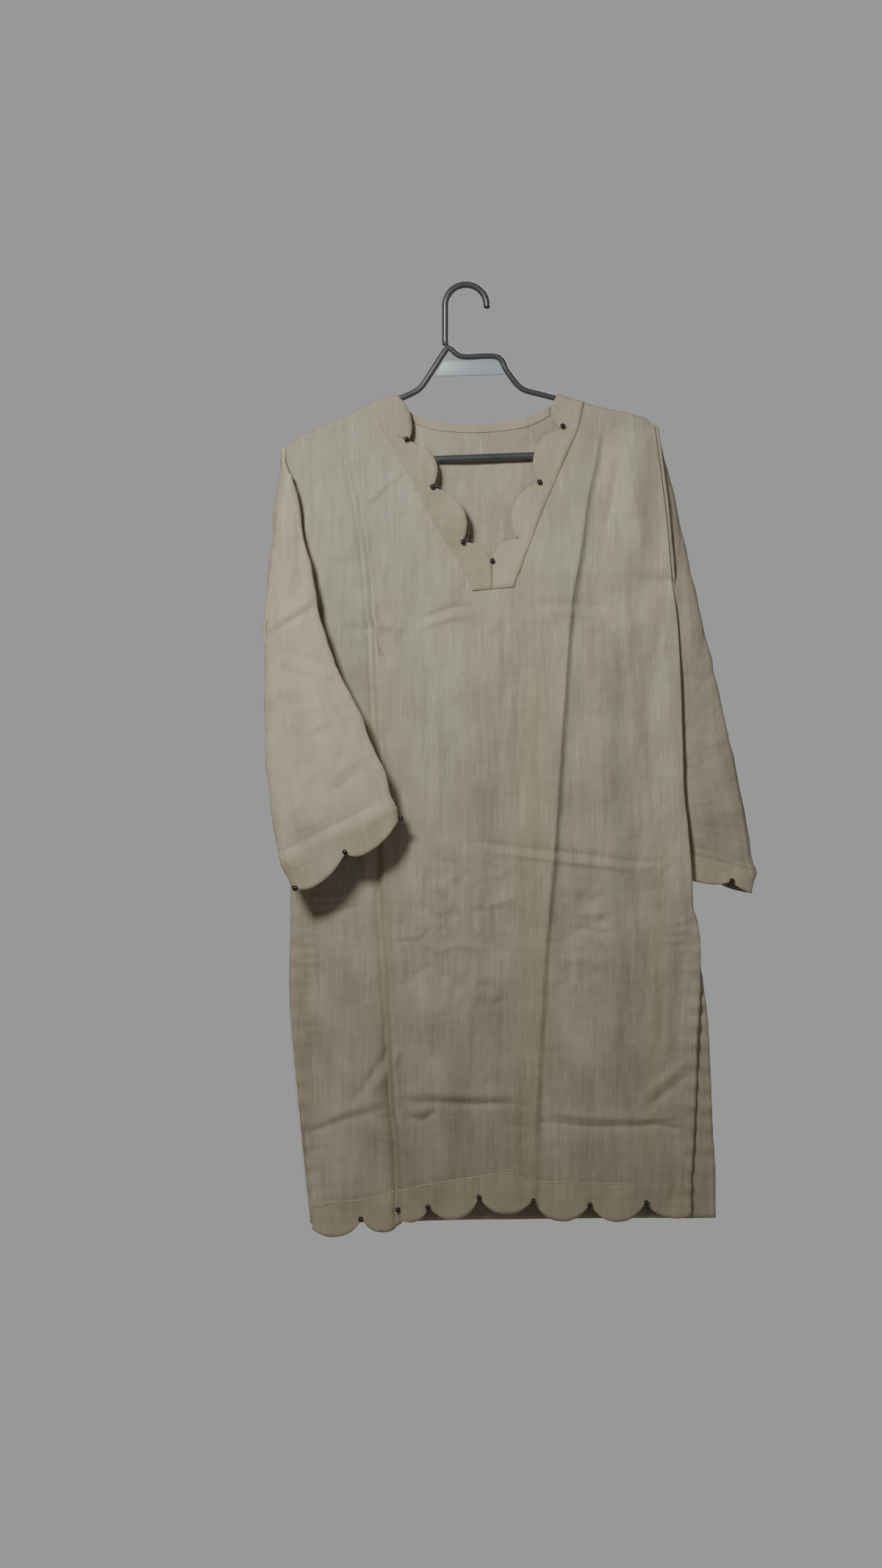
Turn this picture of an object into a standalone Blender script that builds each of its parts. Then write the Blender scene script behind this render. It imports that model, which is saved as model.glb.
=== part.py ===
# A scallop-edged tunic dress, hung flat on a plastic hanger.
# The scene is in metres with +Z up. The origin is the inner top of the hook, and the front faces -Y.
# The tables are in millimetres: x from the hook's axis, drop down from the origin.
import bpy
import numpy as np

MM = 0.001
CLOTH = 1.2          # wall of the panels and sleeves
FACING = 1.0         # wall of the facings
GAP = 0.3            # between two layers, and along a seam
SEAM_OFFSET = CLOTH / 2 + GAP / 2
FACING_OFFSET = CLOTH / 2 + GAP + FACING / 2

ARM_RADIUS = 3.4     # hanger's arms
BAR_RADIUS = 4.2     # trouser bar
BAR_GAP = 0.4        # at each end of the trouser bar
HOOK_RADIUS = 3.75
HOOK_BEND = 23.7     # centreline of the hook's round
ARM_CLEARANCE = 0.65         # between the arms and the cloth over them
SHOULDER_RADIUS = ARM_RADIUS + ARM_CLEARANCE + CLOTH / 2   # the cloth's middle, over the arm
SHOULDER_SLOPE = 0.94        # cosine of the shoulder line's slope
SHOULDER_EDGE = 0.2          # half the seam's opening along the shoulder
ARMHOLE_DEPTH = 9.0          # half the armhole's opening, front to back
ARMHOLE_BOTTOM = {"left": 368.3, "right": 332.1}
OVAL = 0.8                   # power of a circle's chord: under 1 is fuller than a circle

FRONT_BOW = 17.0     # how far the front stands off the side seams
BACK_BOW = 10.0
BOW_RUN = 150.0      # drop from the shoulder to the full bow
EDGE_REACH = (14.0, 95.0)    # how far the rounding at the sides reaches in, at the shoulder and below
EDGE_START, EDGE_RUN = 10.0, 200.0   # drop from the shoulder to where that reach grows, and over how much

ARC_ROWS = 3         # rows over the hanger's arm
FOOT_ROWS = 2
BODY_ROWS = 18
HEM_ROWS = 3
BACK_ROWS = 20
SLEEVE_ROUND = 24
SCALLOP_FULLNESS = 2.4

# x, drop
SHOULDER_LINE = (
    (-205.4, 182.1), (-190.1, 169.6), (-162.1, 158.3), (-136.1, 146.5), (-108.8, 132.6), (-78.1, 123.0),
    (104.2, 122.1), (134.4, 131.4), (157.1, 137.3), (204.1, 149.0), (214.9, 157.4),
)
# x, drop of each notch down the neck edge, bulge of the scallop above it, rows in that scallop
NECK_EDGE = {
    "left": ((-78.1, 123.0, 0, 0), (-68.0, 175.1, 8, 2), (-38.6, 230.0, 18, 5), (-3.6, 291.8, 19, 5),
             (29.8, 313.4, 6, 3)),
    "right": ((104.2, 122.1, 0, 0), (110.0, 159.1, 7, 2), (83.6, 223.4, 18, 5), (58.6, 288.2, 17, 5),
              (29.8, 313.4, 7, 3)),
}
# x, drop of the front facing's outer edge, carried on down to the hem as a guide
FACING_EDGE = {
    "left": ((-108.8, 132.6), (-98.3, 158.3), (-89.0, 173.9), (-53.3, 239.7), (-29.8, 282.6), (-6.2, 320.0),
             (6.7, 347.8), (-2.0, 600.0), (-29.0, 1060.0)),
    "right": ((134.4, 131.4), (128.1, 159.9), (116.3, 187.7), (100.0, 225.5), (85.7, 259.1), (63.0, 320.0),
              (55.0, 343.6), (60.0, 600.0), (45.0, 1060.0)),
}
# x, drop of the two long folds, shoulder to hem
FOLD_LINE = {
    "left": ((-136.1, 146.5), (-127.7, 209.5), (-120.5, 242.3), (-114.7, 277.5), (-107.5, 333.8),
             (-102.9, 388.4), (-99.1, 477.5), (-94.9, 540.5), (-92.4, 686.6), (-86.5, 793.3), (-79.0, 927.7),
             (-73.1, 982.3), (-71.4, 1061.3)),
    "right": ((157.1, 137.3), (146.2, 201.9), (136.9, 244.8), (130.2, 296.4), (119.3, 362.4),
              (114.7, 414.5), (106.7, 532.9), (99.1, 643.8), (87.4, 780.7), (83.2, 863.9), (79.0, 946.2),
              (75.6, 1038.6)),
}
# drop, height of each fold
FOLD_HEIGHT = {
    "left": ((146, 0), (200, 3), (390, 6), (560, 3), (700, 4), (930, 7), (1060, 7)),
    "right": ((137, 0), (200, 4), (420, 6), (640, 7), (860, 6), (1040, 5)),
}
FOLD_SHARP = 7.0     # width of a fold's steep side
FOLD_SOFT = 26.0     # width of its easy side
FOLD_FADE_SIDE, FOLD_FADE_TOP = 25.0, 40.0   # the folds rise over this much from the sides and the shoulders
# x, drop of the front's side edges, shoulder tip to hem
SIDE_EDGE = {
    "left": ((-205.4, 182.1), (-203.3, 259.1), (-200.8, 368.3), (-199.9, 511.1), (-200.8, 695.9),
             (-202.2, 733.7), (-204.5, 796.7), (-199.5, 887.4), (-191.5, 970.5), (-179.8, 1064.6),
             (-175.6, 1074.7)),
    "right": ((214.9, 157.4), (221.8, 212.9), (227.6, 259.1), (234.9, 332.1), (240.7, 374.1),
              (244.4, 426.2), (247.8, 521.1), (249.0, 568.2), (253.7, 615.6), (259.1, 684.1), (259.6, 705.1),
              (265.4, 724.4), (268.8, 757.2), (268.8, 788.3), (265.4, 863.9), (262.9, 958.8),
              (259.6, 1017.6), (257.0, 1058.7)),
}
# x, drop of the back's side edges below the slits
BACK_EDGE = {
    "left": ((-200.8, 695.9), (-200.8, 796.7), (-195.5, 887.4), (-188.0, 970.5), (-178.0, 1069.7)),
    "right": ((259.6, 705.1), (271.3, 793.3), (277.2, 840.3), (279.7, 892.4), (282.2, 958.8),
              (285.6, 1017.6), (285.6, 1063.0)),
}
SLIT_TOP = {"left": 695.9, "right": 705.1}
BACK_HEM_DROP = {"left": 1069.7, "right": 1063.0}
# x, drop of the back's neck edge
BACK_NECK = ((-78.1, 123.0), (-65.5, 140.6), (-36.1, 151.5), (6.7, 154.9), (58.8, 150.3), (97.0, 133.8),
             (104.2, 122.1))
BACK_FACING_WIDTH = 10.0
BACK_NECK_COLUMNS = (0, 1.2, 2.8, 8, 24, 48, 90, 128, 156, 173, 179.2, 181.2, 182.3)   # from its left end
BACK_FACING_COLUMNS = slice(3, -4)   # of those, so that its ends stop short of the hanger's arms
BACK_ROW_GROWTH = 1.15
# x, drop of each notch along the front hem, bulge of the scallop before it, columns in that scallop
HEM_EDGE = {
    "left": ((14.3, 1035.2, 0, 0), (-43.7, 1047.0, 20, 4), (-71.4, 1061.3, 8, 2), (-118.8, 1061.3, 14, 4),
             (-175.6, 1074.7, 15, 4)),
    "right": ((14.3, 1035.2, 0, 0), (75.6, 1038.6, 18, 6), (140.3, 1044.5, 21, 4), (204.1, 1042.8, 20, 4),
              (257.0, 1058.7, 10, 4)),
}
FOLD_COLUMN = 6      # columns from the middle to each fold; the facing's edge is halfway
FACING_FOOT = 346.0  # drop of the front facing's foot
SHOULDER_EASE_ROWS = 8
# Drops at the level of the neck's point and of the facing's foot, down the facing's edge, the fold and the side.
ROW_LEVELS = {
    "left": ((320.0, 347.8), (350.0, 385.0), (380.0, 420.0)),
    "right": ((320.0, 343.6), (345.0, 375.0), (350.0, 395.0)),
}
# x, drop of the hem facing's stitched top
HEM_FACING_TOP = (
    (-181.4, 1048.7), (-156.2, 1042.8), (-114.2, 1036.9), (-71.4, 1025.1), (-11.8, 1014.2), (17.6, 1010.0),
    (50.4, 1006.7), (75.6, 1016.0), (146.2, 1018.4), (217.6, 1020.9), (259.6, 1021.8),
)
# The sleeves, a row for each section from the armhole down. Over is the fold over the arm and under the
# underarm seam, each as x, drop and y; depth is half the section's thickness; turn is how far its back
# face has swung round to the front, in degrees.
SLEEVE_SECTIONS = {
    "left": (
        (-205.9, 182.1, 0, -201.3, 368.3, 0, 9.0, 0),
        (-208.9, 182.6, 0, -204.3, 369.0, 0, 9.0, 0),
        (-198.2, 216.2, -22, -226.8, 410.3, -30, 9.0, 180),
        (-183.1, 282.6, -29, -226.8, 448.1, -34, 10.0, 180),
        (-168.0, 367.4, -36, -226.4, 494.3, -38, 10.0, 180),
        (-145.3, 435.5, -43, -224.5, 537.9, -42, 10.5, 180),
        (-119.7, 488.4, -49, -220.9, 574.1, -46, 11.5, 180),
        (-96.1, 547.2, -54, -214.2, 624.5, -50, 13.0, 180),
        (-83.2, 580.8, -56, -210.0, 644.3, -52, 11.0, 180),
        (-79.0, 592.1, -57, -206.5, 655.0, -53, 12.0, 180),
        (-76.6, 607.2, -58, -193.5, 681.6, -54, 12.0, 180),
    ),
    "right": (
        (215.6, 157.4, 0, 235.6, 332.1, 0, 9.0, 0),
        (218.6, 158.4, 0, 238.9, 332.9, 0, 9.0, 0),
        (236.0, 230.5, 3, 238.5, 385.1, 14, 9.0, 0),
        (248.6, 286.5, 6, 229.0, 427.1, 21, 9.5, 0),
        (263.8, 349.8, 9, 219.0, 469.1, 25, 10.0, 0),
        (278.0, 408.6, 11, 211.0, 511.1, 28, 10.5, 0),
        (293.2, 479.1, 13, 204.1, 548.9, 30, 11.5, 0),
        (308.3, 543.0, 15, 197.4, 586.7, 31, 13.0, 0),
        (330.0, 659.7, 17, 193.2, 620.3, 32, 11.0, 0),
        (332.5, 668.1, 18, 191.5, 631.2, 33, 12.0, 0),
        (328.0, 684.1, 19, 188.2, 653.9, 33, 12.0, 0),
    ),
}
SLEEVE_RINGS = (1, 6, 2, 2, 1, 1, 1, 1, 1, 2)    # rings from each section to the next
SLEEVE_SWING = {"left": (3.0, 6.0), "right": (0.0, 0.0)}   # outwards as it turns, at its over and under edges
SLEEVE_PINCH = 0.25      # share of its depth that it loses halfway round the turn
SLEEVE_BOW_RINGS = 5     # rings that still follow the bow of the armhole's edge
CUFF_SCALLOP = {"left": 15.0, "right": 9.0}
CUFF_PHASE = {"left": 0.0, "right": 0.34}    # where the first notch lies, in scallops from the overarm fold
CUFF_RINGS = 2       # rings of the cuff facing

# x, drop down the hanger's frame, from the bar's left end over the plate to its right end
HANGER_LEFT_END = ((-178.0, 201.5), (-183.5, 201.7), (-188.8, 199.8), (-192.4, 195.0), (-193.8, 188.0),
                   (-193.0, 181.2))
HANGER_NECK = ((-73.9, 125.9), (-55.4, 116.3), (-40.3, 100.3), (-22.7, 70.5), (-17.5, 69.5), (-10.6, 75.5),
               (-0.8, 78.7), (35.3, 78.7), (46.2, 94.0), (63.3, 113.3), (99.0, 125.0))
HANGER_RIGHT_END = ((204.6, 159.0), (206.0, 167.0), (204.6, 176.0), (201.0, 183.0), (195.8, 186.9),
                    (190.0, 187.4))
# x of points along each arm, which runs just under the shoulder line
HANGER_LEFT_ARM = (-186.0, -162.1, -136.1, -108.8, -84.0)
HANGER_RIGHT_ARM = (110.0, 134.4, 157.1, 180.0, 198.0)
HANGER_SPACING = 7.0     # between points along the frame
PLATE_OUTLINE = ((-26.0, 83.2), (33.8, 83.2), (44.6, 99.2), (-35.4, 101.0))
PLATE_THICK = 2.4
HOOK_STEM = (65.9, 50.0, 35.0)    # drops down the stem, bottom to top
HOOK_TURN_STEP = 13      # degrees between points round the hook
HOOK_END = -16

COLOURS = {
    "cloth": (0.36, 0.33, 0.27, 1.0),
    "facing": (0.42, 0.38, 0.30, 1.0),
    "plastic": (0.10, 0.11, 0.12, 1.0),
    "plate": (0.35, 0.42, 0.47, 1.0),
}


def clear_scene():
    for thing in list(bpy.data.objects):
        bpy.data.objects.remove(thing, do_unlink=True)


def material(name, colour, roughness):
    made = bpy.data.materials.get(name)
    if made is None:
        made = bpy.data.materials.new(name)
        made.use_nodes = True
        shader = made.node_tree.nodes["Principled BSDF"]
        shader.inputs["Base Color"].default_value = COLOURS[colour]
        shader.inputs["Roughness"].default_value = roughness
        shader.inputs["Metallic"].default_value = 0.0
    return made


def smooth(value):
    value = np.clip(value, 0.0, 1.0)
    return value * value * (3 - 2 * value)


def along(table, drop, column=0, by=1):
    """The table's value in one column where another column, by default the drop, has the given value."""
    rows = np.array(table, float)
    order = np.argsort(rows[:, by])
    return np.interp(drop, rows[order, by], rows[order, column])


def shoulder_drop(x):
    return along(SHOULDER_LINE, x, column=1, by=0)


def armhole_depth(side, drop):
    """Half the armhole's opening at a drop: an oval from the shoulder tip to the underarm."""
    top = SIDE_EDGE[side][0][1]
    part = np.clip((drop - top) / (ARMHOLE_BOTTOM[side] - top), 0.0, 1.0)
    return (ARMHOLE_DEPTH - SEAM_OFFSET) * (2 * np.sqrt(part * (1 - part))) ** OVAL


def panel_depth(side, x, drop, edge_x, bow):
    """Distance of a panel's middle from the side seams' plane: round over the hanger's arm, then bowed."""
    down = np.maximum(drop - shoulder_drop(x), 0.0) * SHOULDER_SLOPE
    over_arm = np.sqrt(np.maximum(SHOULDER_RADIUS**2 - (SHOULDER_RADIUS - np.minimum(down, SHOULDER_RADIUS)) ** 2,
                                  SHOULDER_EDGE**2))
    full = over_arm + (bow - SHOULDER_RADIUS) * smooth((down - SHOULDER_RADIUS) / BOW_RUN)
    reach = EDGE_REACH[0] + (EDGE_REACH[1] - EDGE_REACH[0]) * smooth((down - EDGE_START) / EDGE_RUN)
    edge = SEAM_OFFSET + armhole_depth(side, drop)
    return edge + (full - edge) * smooth(np.abs(edge_x - x) / reach)


def fold_height(x, drop):
    """The two long folds of the front: steep on their outer sides, easy towards the middle."""
    height = 0.0
    for side, outward in (("left", -1), ("right", 1)):
        away = outward * (x - along(FOLD_LINE[side], drop))
        width = np.where(away > 0, FOLD_SHARP, FOLD_SOFT)
        height = height + along(FOLD_HEIGHT[side], drop, column=1, by=0) * np.exp(-((away / width) ** 2))
    return height


def scalloped(notches, side):
    """Points along an edge of scallops, run from the middle out or from the shoulder down."""
    sign = 1 if side == "left" else -1
    points = [np.array(notches[0][:2], float)]
    for (x0, drop0, _, _), (x1, drop1, bulge, steps) in zip(notches, notches[1:]):
        start, end = np.array((x0, drop0), float), np.array((x1, drop1), float)
        chord = (end - start) / np.linalg.norm(end - start)
        outward = sign * np.array((chord[1], -chord[0]))
        for step in range(1, steps + 1):
            part = step / steps
            rise = bulge * (1 - abs(2 * part - 1) ** SCALLOP_FULLNESS)
            points.append(start + (end - start) * part + outward * rise)
    return np.array(points)


def arc_drops():
    """Drops below the shoulder line of the rows that go over the hanger's arm."""
    turns = np.radians(np.linspace(0, 90, ARC_ROWS + 1))
    return SHOULDER_RADIUS * (1 - np.cos(turns)) / SHOULDER_SLOPE


def stations(values, counts):
    """Values from one station to the next, each stretch cut into its number of rows."""
    rows = [values[0]]
    for start, end, count in zip(values, values[1:], counts):
        rows.extend(start + (end - start) * (step + 1) / count for step in range(count))
    return np.array(rows)


def front_half(side):
    """Grid of x and drop over one half of the front, rows down and columns from the middle outwards."""
    neck = scalloped(NECK_EDGE[side], side)
    hem = scalloped(HEM_EDGE[side], side)
    neck_rows = len(neck) - 1
    arc = arc_drops()
    hem_top = along(HEM_FACING_TOP, hem[:, 0], column=1, by=0)
    chest = neck[-1][1]

    # down the neck edge, then down the middle
    first = neck[0] + (neck[1] - neck[0]) * (arc[:, None] / np.linalg.norm(neck[1] - neck[0]))
    below = stations((chest, FACING_FOOT, hem_top[0]), (FOOT_ROWS, BODY_ROWS))[1:]
    spread = (below - chest) / (hem_top[0] - chest)
    middle = np.stack([neck[-1][0] + (hem[0][0] - neck[-1][0]) * spread, below], axis=1)
    guides = [np.concatenate([first, neck[1:], middle])]
    # the facing's edge, the fold and the side
    edges = (0, FOLD_COLUMN // 2, FOLD_COLUMN, len(hem) - 1)
    for table, levels, column in zip((FACING_EDGE, FOLD_LINE, SIDE_EDGE), ROW_LEVELS[side], edges[1:]):
        top = table[side][0][1]
        stops = (top + arc[-1],) + levels + (hem_top[column],)
        drops = np.concatenate([top + arc, stations(stops, (neck_rows, FOOT_ROWS, BODY_ROWS))[1:]])
        guides.append(np.stack([along(table[side], drops), drops], axis=1))

    columns = []
    for inner, outer, first_column, last_column in zip(guides, guides[1:], edges, edges[1:]):
        for column in range(first_column, last_column):
            part = (column - first_column) / (last_column - first_column)
            columns.append(inner + (outer - inner) * part)
    grid = np.stack(columns + [guides[-1]], axis=1)

    # the top rows follow the shoulder line, and the next ones ease away from its shape
    sag = shoulder_drop(grid[0, :, 0]) - grid[0, :, 1]
    for row in range(len(grid)):
        if row <= ARC_ROWS:
            grid[row, :, 1] = shoulder_drop(grid[row, :, 0]) + arc[row]
        else:
            grid[row, :, 1] += sag * max(0.0, 1 - (row - ARC_ROWS) / SHOULDER_EASE_ROWS)

    # the columns drift over to the hem's scallops on the way down
    target = np.stack([hem[:, 0], hem_top], axis=1)
    missing = target - grid[-1]
    first_body = len(grid) - 1 - BODY_ROWS
    for row in range(first_body, len(grid)):
        grid[row] += missing * ((row - first_body) / BODY_ROWS) ** 2
    hem_rows = [target + (hem - target) * step / HEM_ROWS for step in range(1, HEM_ROWS + 1)]
    return np.concatenate([grid, hem_rows])


def build_front():
    """Points and faces of the front's middle surface, and the row and column of each point."""
    left, right = front_half("left"), front_half("right")
    neck_row = ARC_ROWS + sum(row[3] for row in NECK_EDGE["left"])
    points, index = [], {}
    for side, grid in (("left", left), ("right", right)):
        for row in range(grid.shape[0]):
            for column in range(grid.shape[1]):
                key = ("middle", row, 0) if column == 0 and row >= neck_row else (side, row, column)
                if key in index:
                    continue
                index[key] = len(points)
                x, drop = grid[row, column]
                edge_x = along(SIDE_EDGE[side], drop)
                depth = panel_depth(side, x, drop, edge_x, FRONT_BOW)
                inside = smooth(abs(edge_x - x) / FOLD_FADE_SIDE)
                inside *= smooth((drop - shoulder_drop(x)) / FOLD_FADE_TOP)
                depth += fold_height(x, drop) * inside
                points.append((x, -float(depth), -drop))

    def at(side, row, column):
        return index[("middle", row, 0) if column == 0 and row >= neck_row else (side, row, column)]

    faces, cells = [], []
    for side, grid in (("left", left), ("right", right)):
        for row in range(grid.shape[0] - 1):
            for column in range(grid.shape[1] - 1):
                corners = [at(side, row, column), at(side, row, column + 1), at(side, row + 1, column + 1),
                           at(side, row + 1, column)]
                faces.append(corners if side == "left" else corners[::-1])
                cells.append((side, row, column))
    return np.array(points), faces, cells


def back_edge(side, drop):
    return along(SIDE_EDGE[side] if drop < SLIT_TOP[side] else BACK_EDGE[side], drop)


def build_back():
    """Points and faces of the back's middle surface, with each face's row and column."""
    neck_left, neck_right = BACK_NECK[0][0], BACK_NECK[-1][0]
    shoulder_x = [x for x, _ in SHOULDER_LINE]
    top_x = np.array(
        [x for x in shoulder_x if x < neck_left]
        + [neck_left + step for step in BACK_NECK_COLUMNS]
        + [x for x in shoulder_x if x > neck_right]
    )
    in_neck = (top_x >= neck_left) & (top_x <= neck_right)
    share = np.linspace(0, 1, len(top_x))
    bottom = np.stack([
        BACK_EDGE["left"][-1][0] + (BACK_EDGE["right"][-1][0] - BACK_EDGE["left"][-1][0]) * share,
        BACK_HEM_DROP["left"] + (BACK_HEM_DROP["right"] - BACK_HEM_DROP["left"]) * share,
    ], axis=1)
    top = np.where(in_neck, along(BACK_NECK, top_x, column=1, by=0), shoulder_drop(top_x))
    rows = [np.stack([top_x, top + down], axis=1) for down in list(arc_drops()) + [BACK_FACING_WIDTH]]
    first = rows[-1]
    rows += [first + (bottom - first) * (step / BACK_ROWS) ** BACK_ROW_GROWTH for step in range(1, BACK_ROWS + 1)]
    grid = np.array(rows)
    # the outer columns lie on the side edges, and the rest spread between them
    for row in grid:
        low, high = row[0, 0], row[-1, 0]
        left, right = back_edge("left", row[0, 1]), back_edge("right", row[-1, 1])
        row[:, 0] = left + (row[:, 0] - low) * (right - left) / (high - low)
    points = []
    for x, drop in grid.reshape(-1, 2):
        side = "left" if x < 0 else "right"
        depth = panel_depth(side, x, drop, back_edge(side, drop), BACK_BOW)
        points.append((x, float(depth), -drop))
    across = grid.shape[1]
    faces, cells = [], []
    for row in range(grid.shape[0] - 1):
        for column in range(across - 1):
            corner = row * across + column
            faces.append((corner, corner + across, corner + across + 1, corner + 1))
            cells.append((row, column))
    return np.array(points), faces, cells, in_neck


def sleeve_rings(side):
    """Sections down the sleeve: over and under as x, y, z, the half depth, and the turn in radians."""
    table = np.array(SLEEVE_SECTIONS[side], float)
    over, under = table[:, [0, 2, 1]] * (1, 1, -1), table[:, [3, 5, 4]] * (1, 1, -1)
    sign = -1 if side == "left" else 1
    rings = []
    for number, count in enumerate(SLEEVE_RINGS):
        turns = np.radians(table[number : number + 2, 7])
        for step in range(count + (number == len(SLEEVE_RINGS) - 1)):
            part = step / count
            turn = turns[0] + (turns[1] - turns[0]) * part
            if turns[1] != turns[0]:
                part = (1 - np.cos(turn)) / 2
            swing = np.array((sign * np.sin(turn), 0, 0))
            depth = table[number, 6] + (table[number + 1, 6] - table[number, 6]) * part
            rings.append((
                over[number] + (over[number + 1] - over[number]) * part + swing * SLEEVE_SWING[side][0],
                under[number] + (under[number + 1] - under[number]) * part + swing * SLEEVE_SWING[side][1],
                depth * (1 - SLEEVE_PINCH * np.sin(turn)),
                turn,
            ))
    return rings


def build_sleeve(side):
    """Rings of a sleeve from the armhole to the cuff. A ring is an oval between overarm and underarm."""
    rings = sleeve_rings(side)
    angles = np.arange(SLEEVE_ROUND) * 2 * np.pi / SLEEVE_ROUND
    across = (1 - np.cos(angles)) / 2
    bulge = np.sign(np.sin(angles)) * (2 * np.sqrt(np.maximum(across * (1 - across), 0))) ** OVAL
    # the distance round the cuff, in scallops: two on each face
    round_cuff = np.where(angles <= np.pi, 2 * across, 4 - 2 * across)
    phase = (round_cuff + CUFF_PHASE[side]) % 1.0
    scallop = CUFF_SCALLOP[side] * (1 - np.abs(2 * phase - 1) ** SCALLOP_FULLNESS)
    # how far the armhole's edge bows from a straight line, which the first rings follow
    drops = -(rings[0][0][2] + (rings[0][1][2] - rings[0][0][2]) * across)
    edge = along(SIDE_EDGE[side], drops)
    bow = edge - (edge[0] + (edge[SLEEVE_ROUND // 2] - edge[0]) * across)
    points = []
    for number, (over, under, depth, turn) in enumerate(rings):
        outward = np.array((-np.sin(turn), np.cos(turn), 0.0))
        circle = over + (under - over) * across[:, None] + outward * (bulge * depth)[:, None]
        circle[:, 0] += bow * max(0.0, 1 - number / SLEEVE_BOW_RINGS)
        to_cuff = number - (len(rings) - 1 - CUFF_RINGS)
        if to_cuff > 0:
            circle[:, 2] -= scallop * to_cuff / CUFF_RINGS
        points.append(circle)
    faces, cells = [], []
    for ring in range(len(rings) - 1):
        for step in range(SLEEVE_ROUND):
            beside = (step + 1) % SLEEVE_ROUND
            corner = ring * SLEEVE_ROUND
            face = (corner + step, corner + SLEEVE_ROUND + step, corner + SLEEVE_ROUND + beside, corner + beside)
            faces.append(face if side == "right" else face[::-1])
            cells.append((ring, step))
    return np.concatenate(points), faces, cells, len(rings)


def surface(name, points, faces):
    mesh = bpy.data.meshes.new(name)
    mesh.from_pydata([tuple(point) for point in np.array(points) * MM], [], [tuple(face) for face in faces])
    mesh.update()
    return mesh


def cloth_object(name, mesh, thickness, look):
    made = bpy.data.objects.new(name, mesh)
    bpy.context.scene.collection.objects.link(made)
    made.data.materials.append(look)
    mesh.shade_smooth()
    wall = made.modifiers.new("wall", "SOLIDIFY")
    wall.thickness = thickness * MM
    wall.offset = 0.0
    return made


def layer_on(name, points, faces, chosen, offset, thickness, look):
    """A second layer over some of a panel's faces, from the panel's own points moved out along its normals."""
    base = surface(name + "_base", points, faces)
    normals = np.array([tuple(vertex.normal) for vertex in base.vertices])
    bpy.data.meshes.remove(base)
    moved = np.array(points) + normals * offset
    used = sorted({corner for number in chosen for corner in faces[number]})
    renumber = {old: new for new, old in enumerate(used)}
    picked = [[renumber[corner] for corner in faces[number]] for number in chosen]
    return cloth_object(name, surface(name, moved[used], picked), thickness, look)


def round_bar(name, path, radius, look):
    """A round bar along x, drop points, in the plane of the shoulders."""
    curve = bpy.data.curves.new(name, "CURVE")
    curve.dimensions = "3D"
    curve.bevel_depth = radius * MM
    curve.bevel_resolution = 2
    curve.use_fill_caps = True
    line = curve.splines.new("POLY")
    line.points.add(len(path) - 1)
    for point, (x, drop) in zip(line.points, path):
        point.co = (x * MM, 0.0, -drop * MM, 1.0)
    made = bpy.data.objects.new(name, curve)
    bpy.context.scene.collection.objects.link(made)
    curve.materials.append(look)
    return made


def smooth_path(points, spacing):
    """A Catmull-Rom curve through the points, read at an even spacing."""
    points = np.array(points, float)
    ends = np.concatenate([[2 * points[0] - points[1]], points, [2 * points[-1] - points[-2]]])
    dense = []
    for number in range(len(points) - 1):
        before, start, end, after = ends[number : number + 4]
        for part in np.linspace(0, 1, 20, endpoint=False):
            dense.append(0.5 * (2 * start + (end - before) * part
                                + (2 * before - 5 * start + 4 * end - after) * part**2
                                + (3 * start - before - 3 * end + after) * part**3))
    dense.append(points[-1])
    dense = np.array(dense)
    length = np.concatenate([[0], np.cumsum(np.linalg.norm(np.diff(dense, axis=0), axis=1))])
    count = max(int(length[-1] / spacing), 2)
    even = np.linspace(0, length[-1], count + 1)
    return np.stack([np.interp(even, length, dense[:, axis]) for axis in (0, 1)], axis=1)


def build_hanger(plastic, plate_look):
    below = SHOULDER_RADIUS / SHOULDER_SLOPE
    left_arm = [(x, shoulder_drop(x) + below) for x in HANGER_LEFT_ARM]
    right_arm = [(x, shoulder_drop(x) + below) for x in HANGER_RIGHT_ARM]
    frame = list(HANGER_LEFT_END) + left_arm + list(HANGER_NECK) + right_arm + list(HANGER_RIGHT_END)
    round_bar("hanger_arms", smooth_path(frame, HANGER_SPACING), ARM_RADIUS, plastic)
    (left_x, left_drop), (right_x, right_drop) = HANGER_LEFT_END[0], HANGER_RIGHT_END[-1]
    bar = [(left_x + BAR_GAP, left_drop), (right_x - BAR_GAP, right_drop)]
    round_bar("hanger_bar", bar, BAR_RADIUS, plastic)

    # the hook: a straight stem, then round over the rail to a free end
    turns = np.radians(np.arange(180, HOOK_END, -HOOK_TURN_STEP))
    hook = [(-HOOK_BEND, drop) for drop in HOOK_STEM]
    hook += [(HOOK_BEND * np.cos(turn), HOOK_BEND - HOOK_RADIUS - HOOK_BEND * np.sin(turn)) for turn in turns]
    round_bar("hanger_hook", hook, HOOK_RADIUS, plastic)

    # the plate, plain, between the frame's top bar and the neck
    corners = [(x, y, -drop) for y in (-PLATE_THICK / 2, PLATE_THICK / 2) for x, drop in PLATE_OUTLINE]
    faces = [(3, 2, 1, 0), (4, 5, 6, 7)]
    faces += [(k, (k + 1) % 4, (k + 1) % 4 + 4, k + 4) for k in range(4)]
    mesh = surface("hanger_plate", corners, faces)
    plate = bpy.data.objects.new("hanger_plate", mesh)
    bpy.context.scene.collection.objects.link(plate)
    mesh.materials.append(plate_look)


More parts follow.
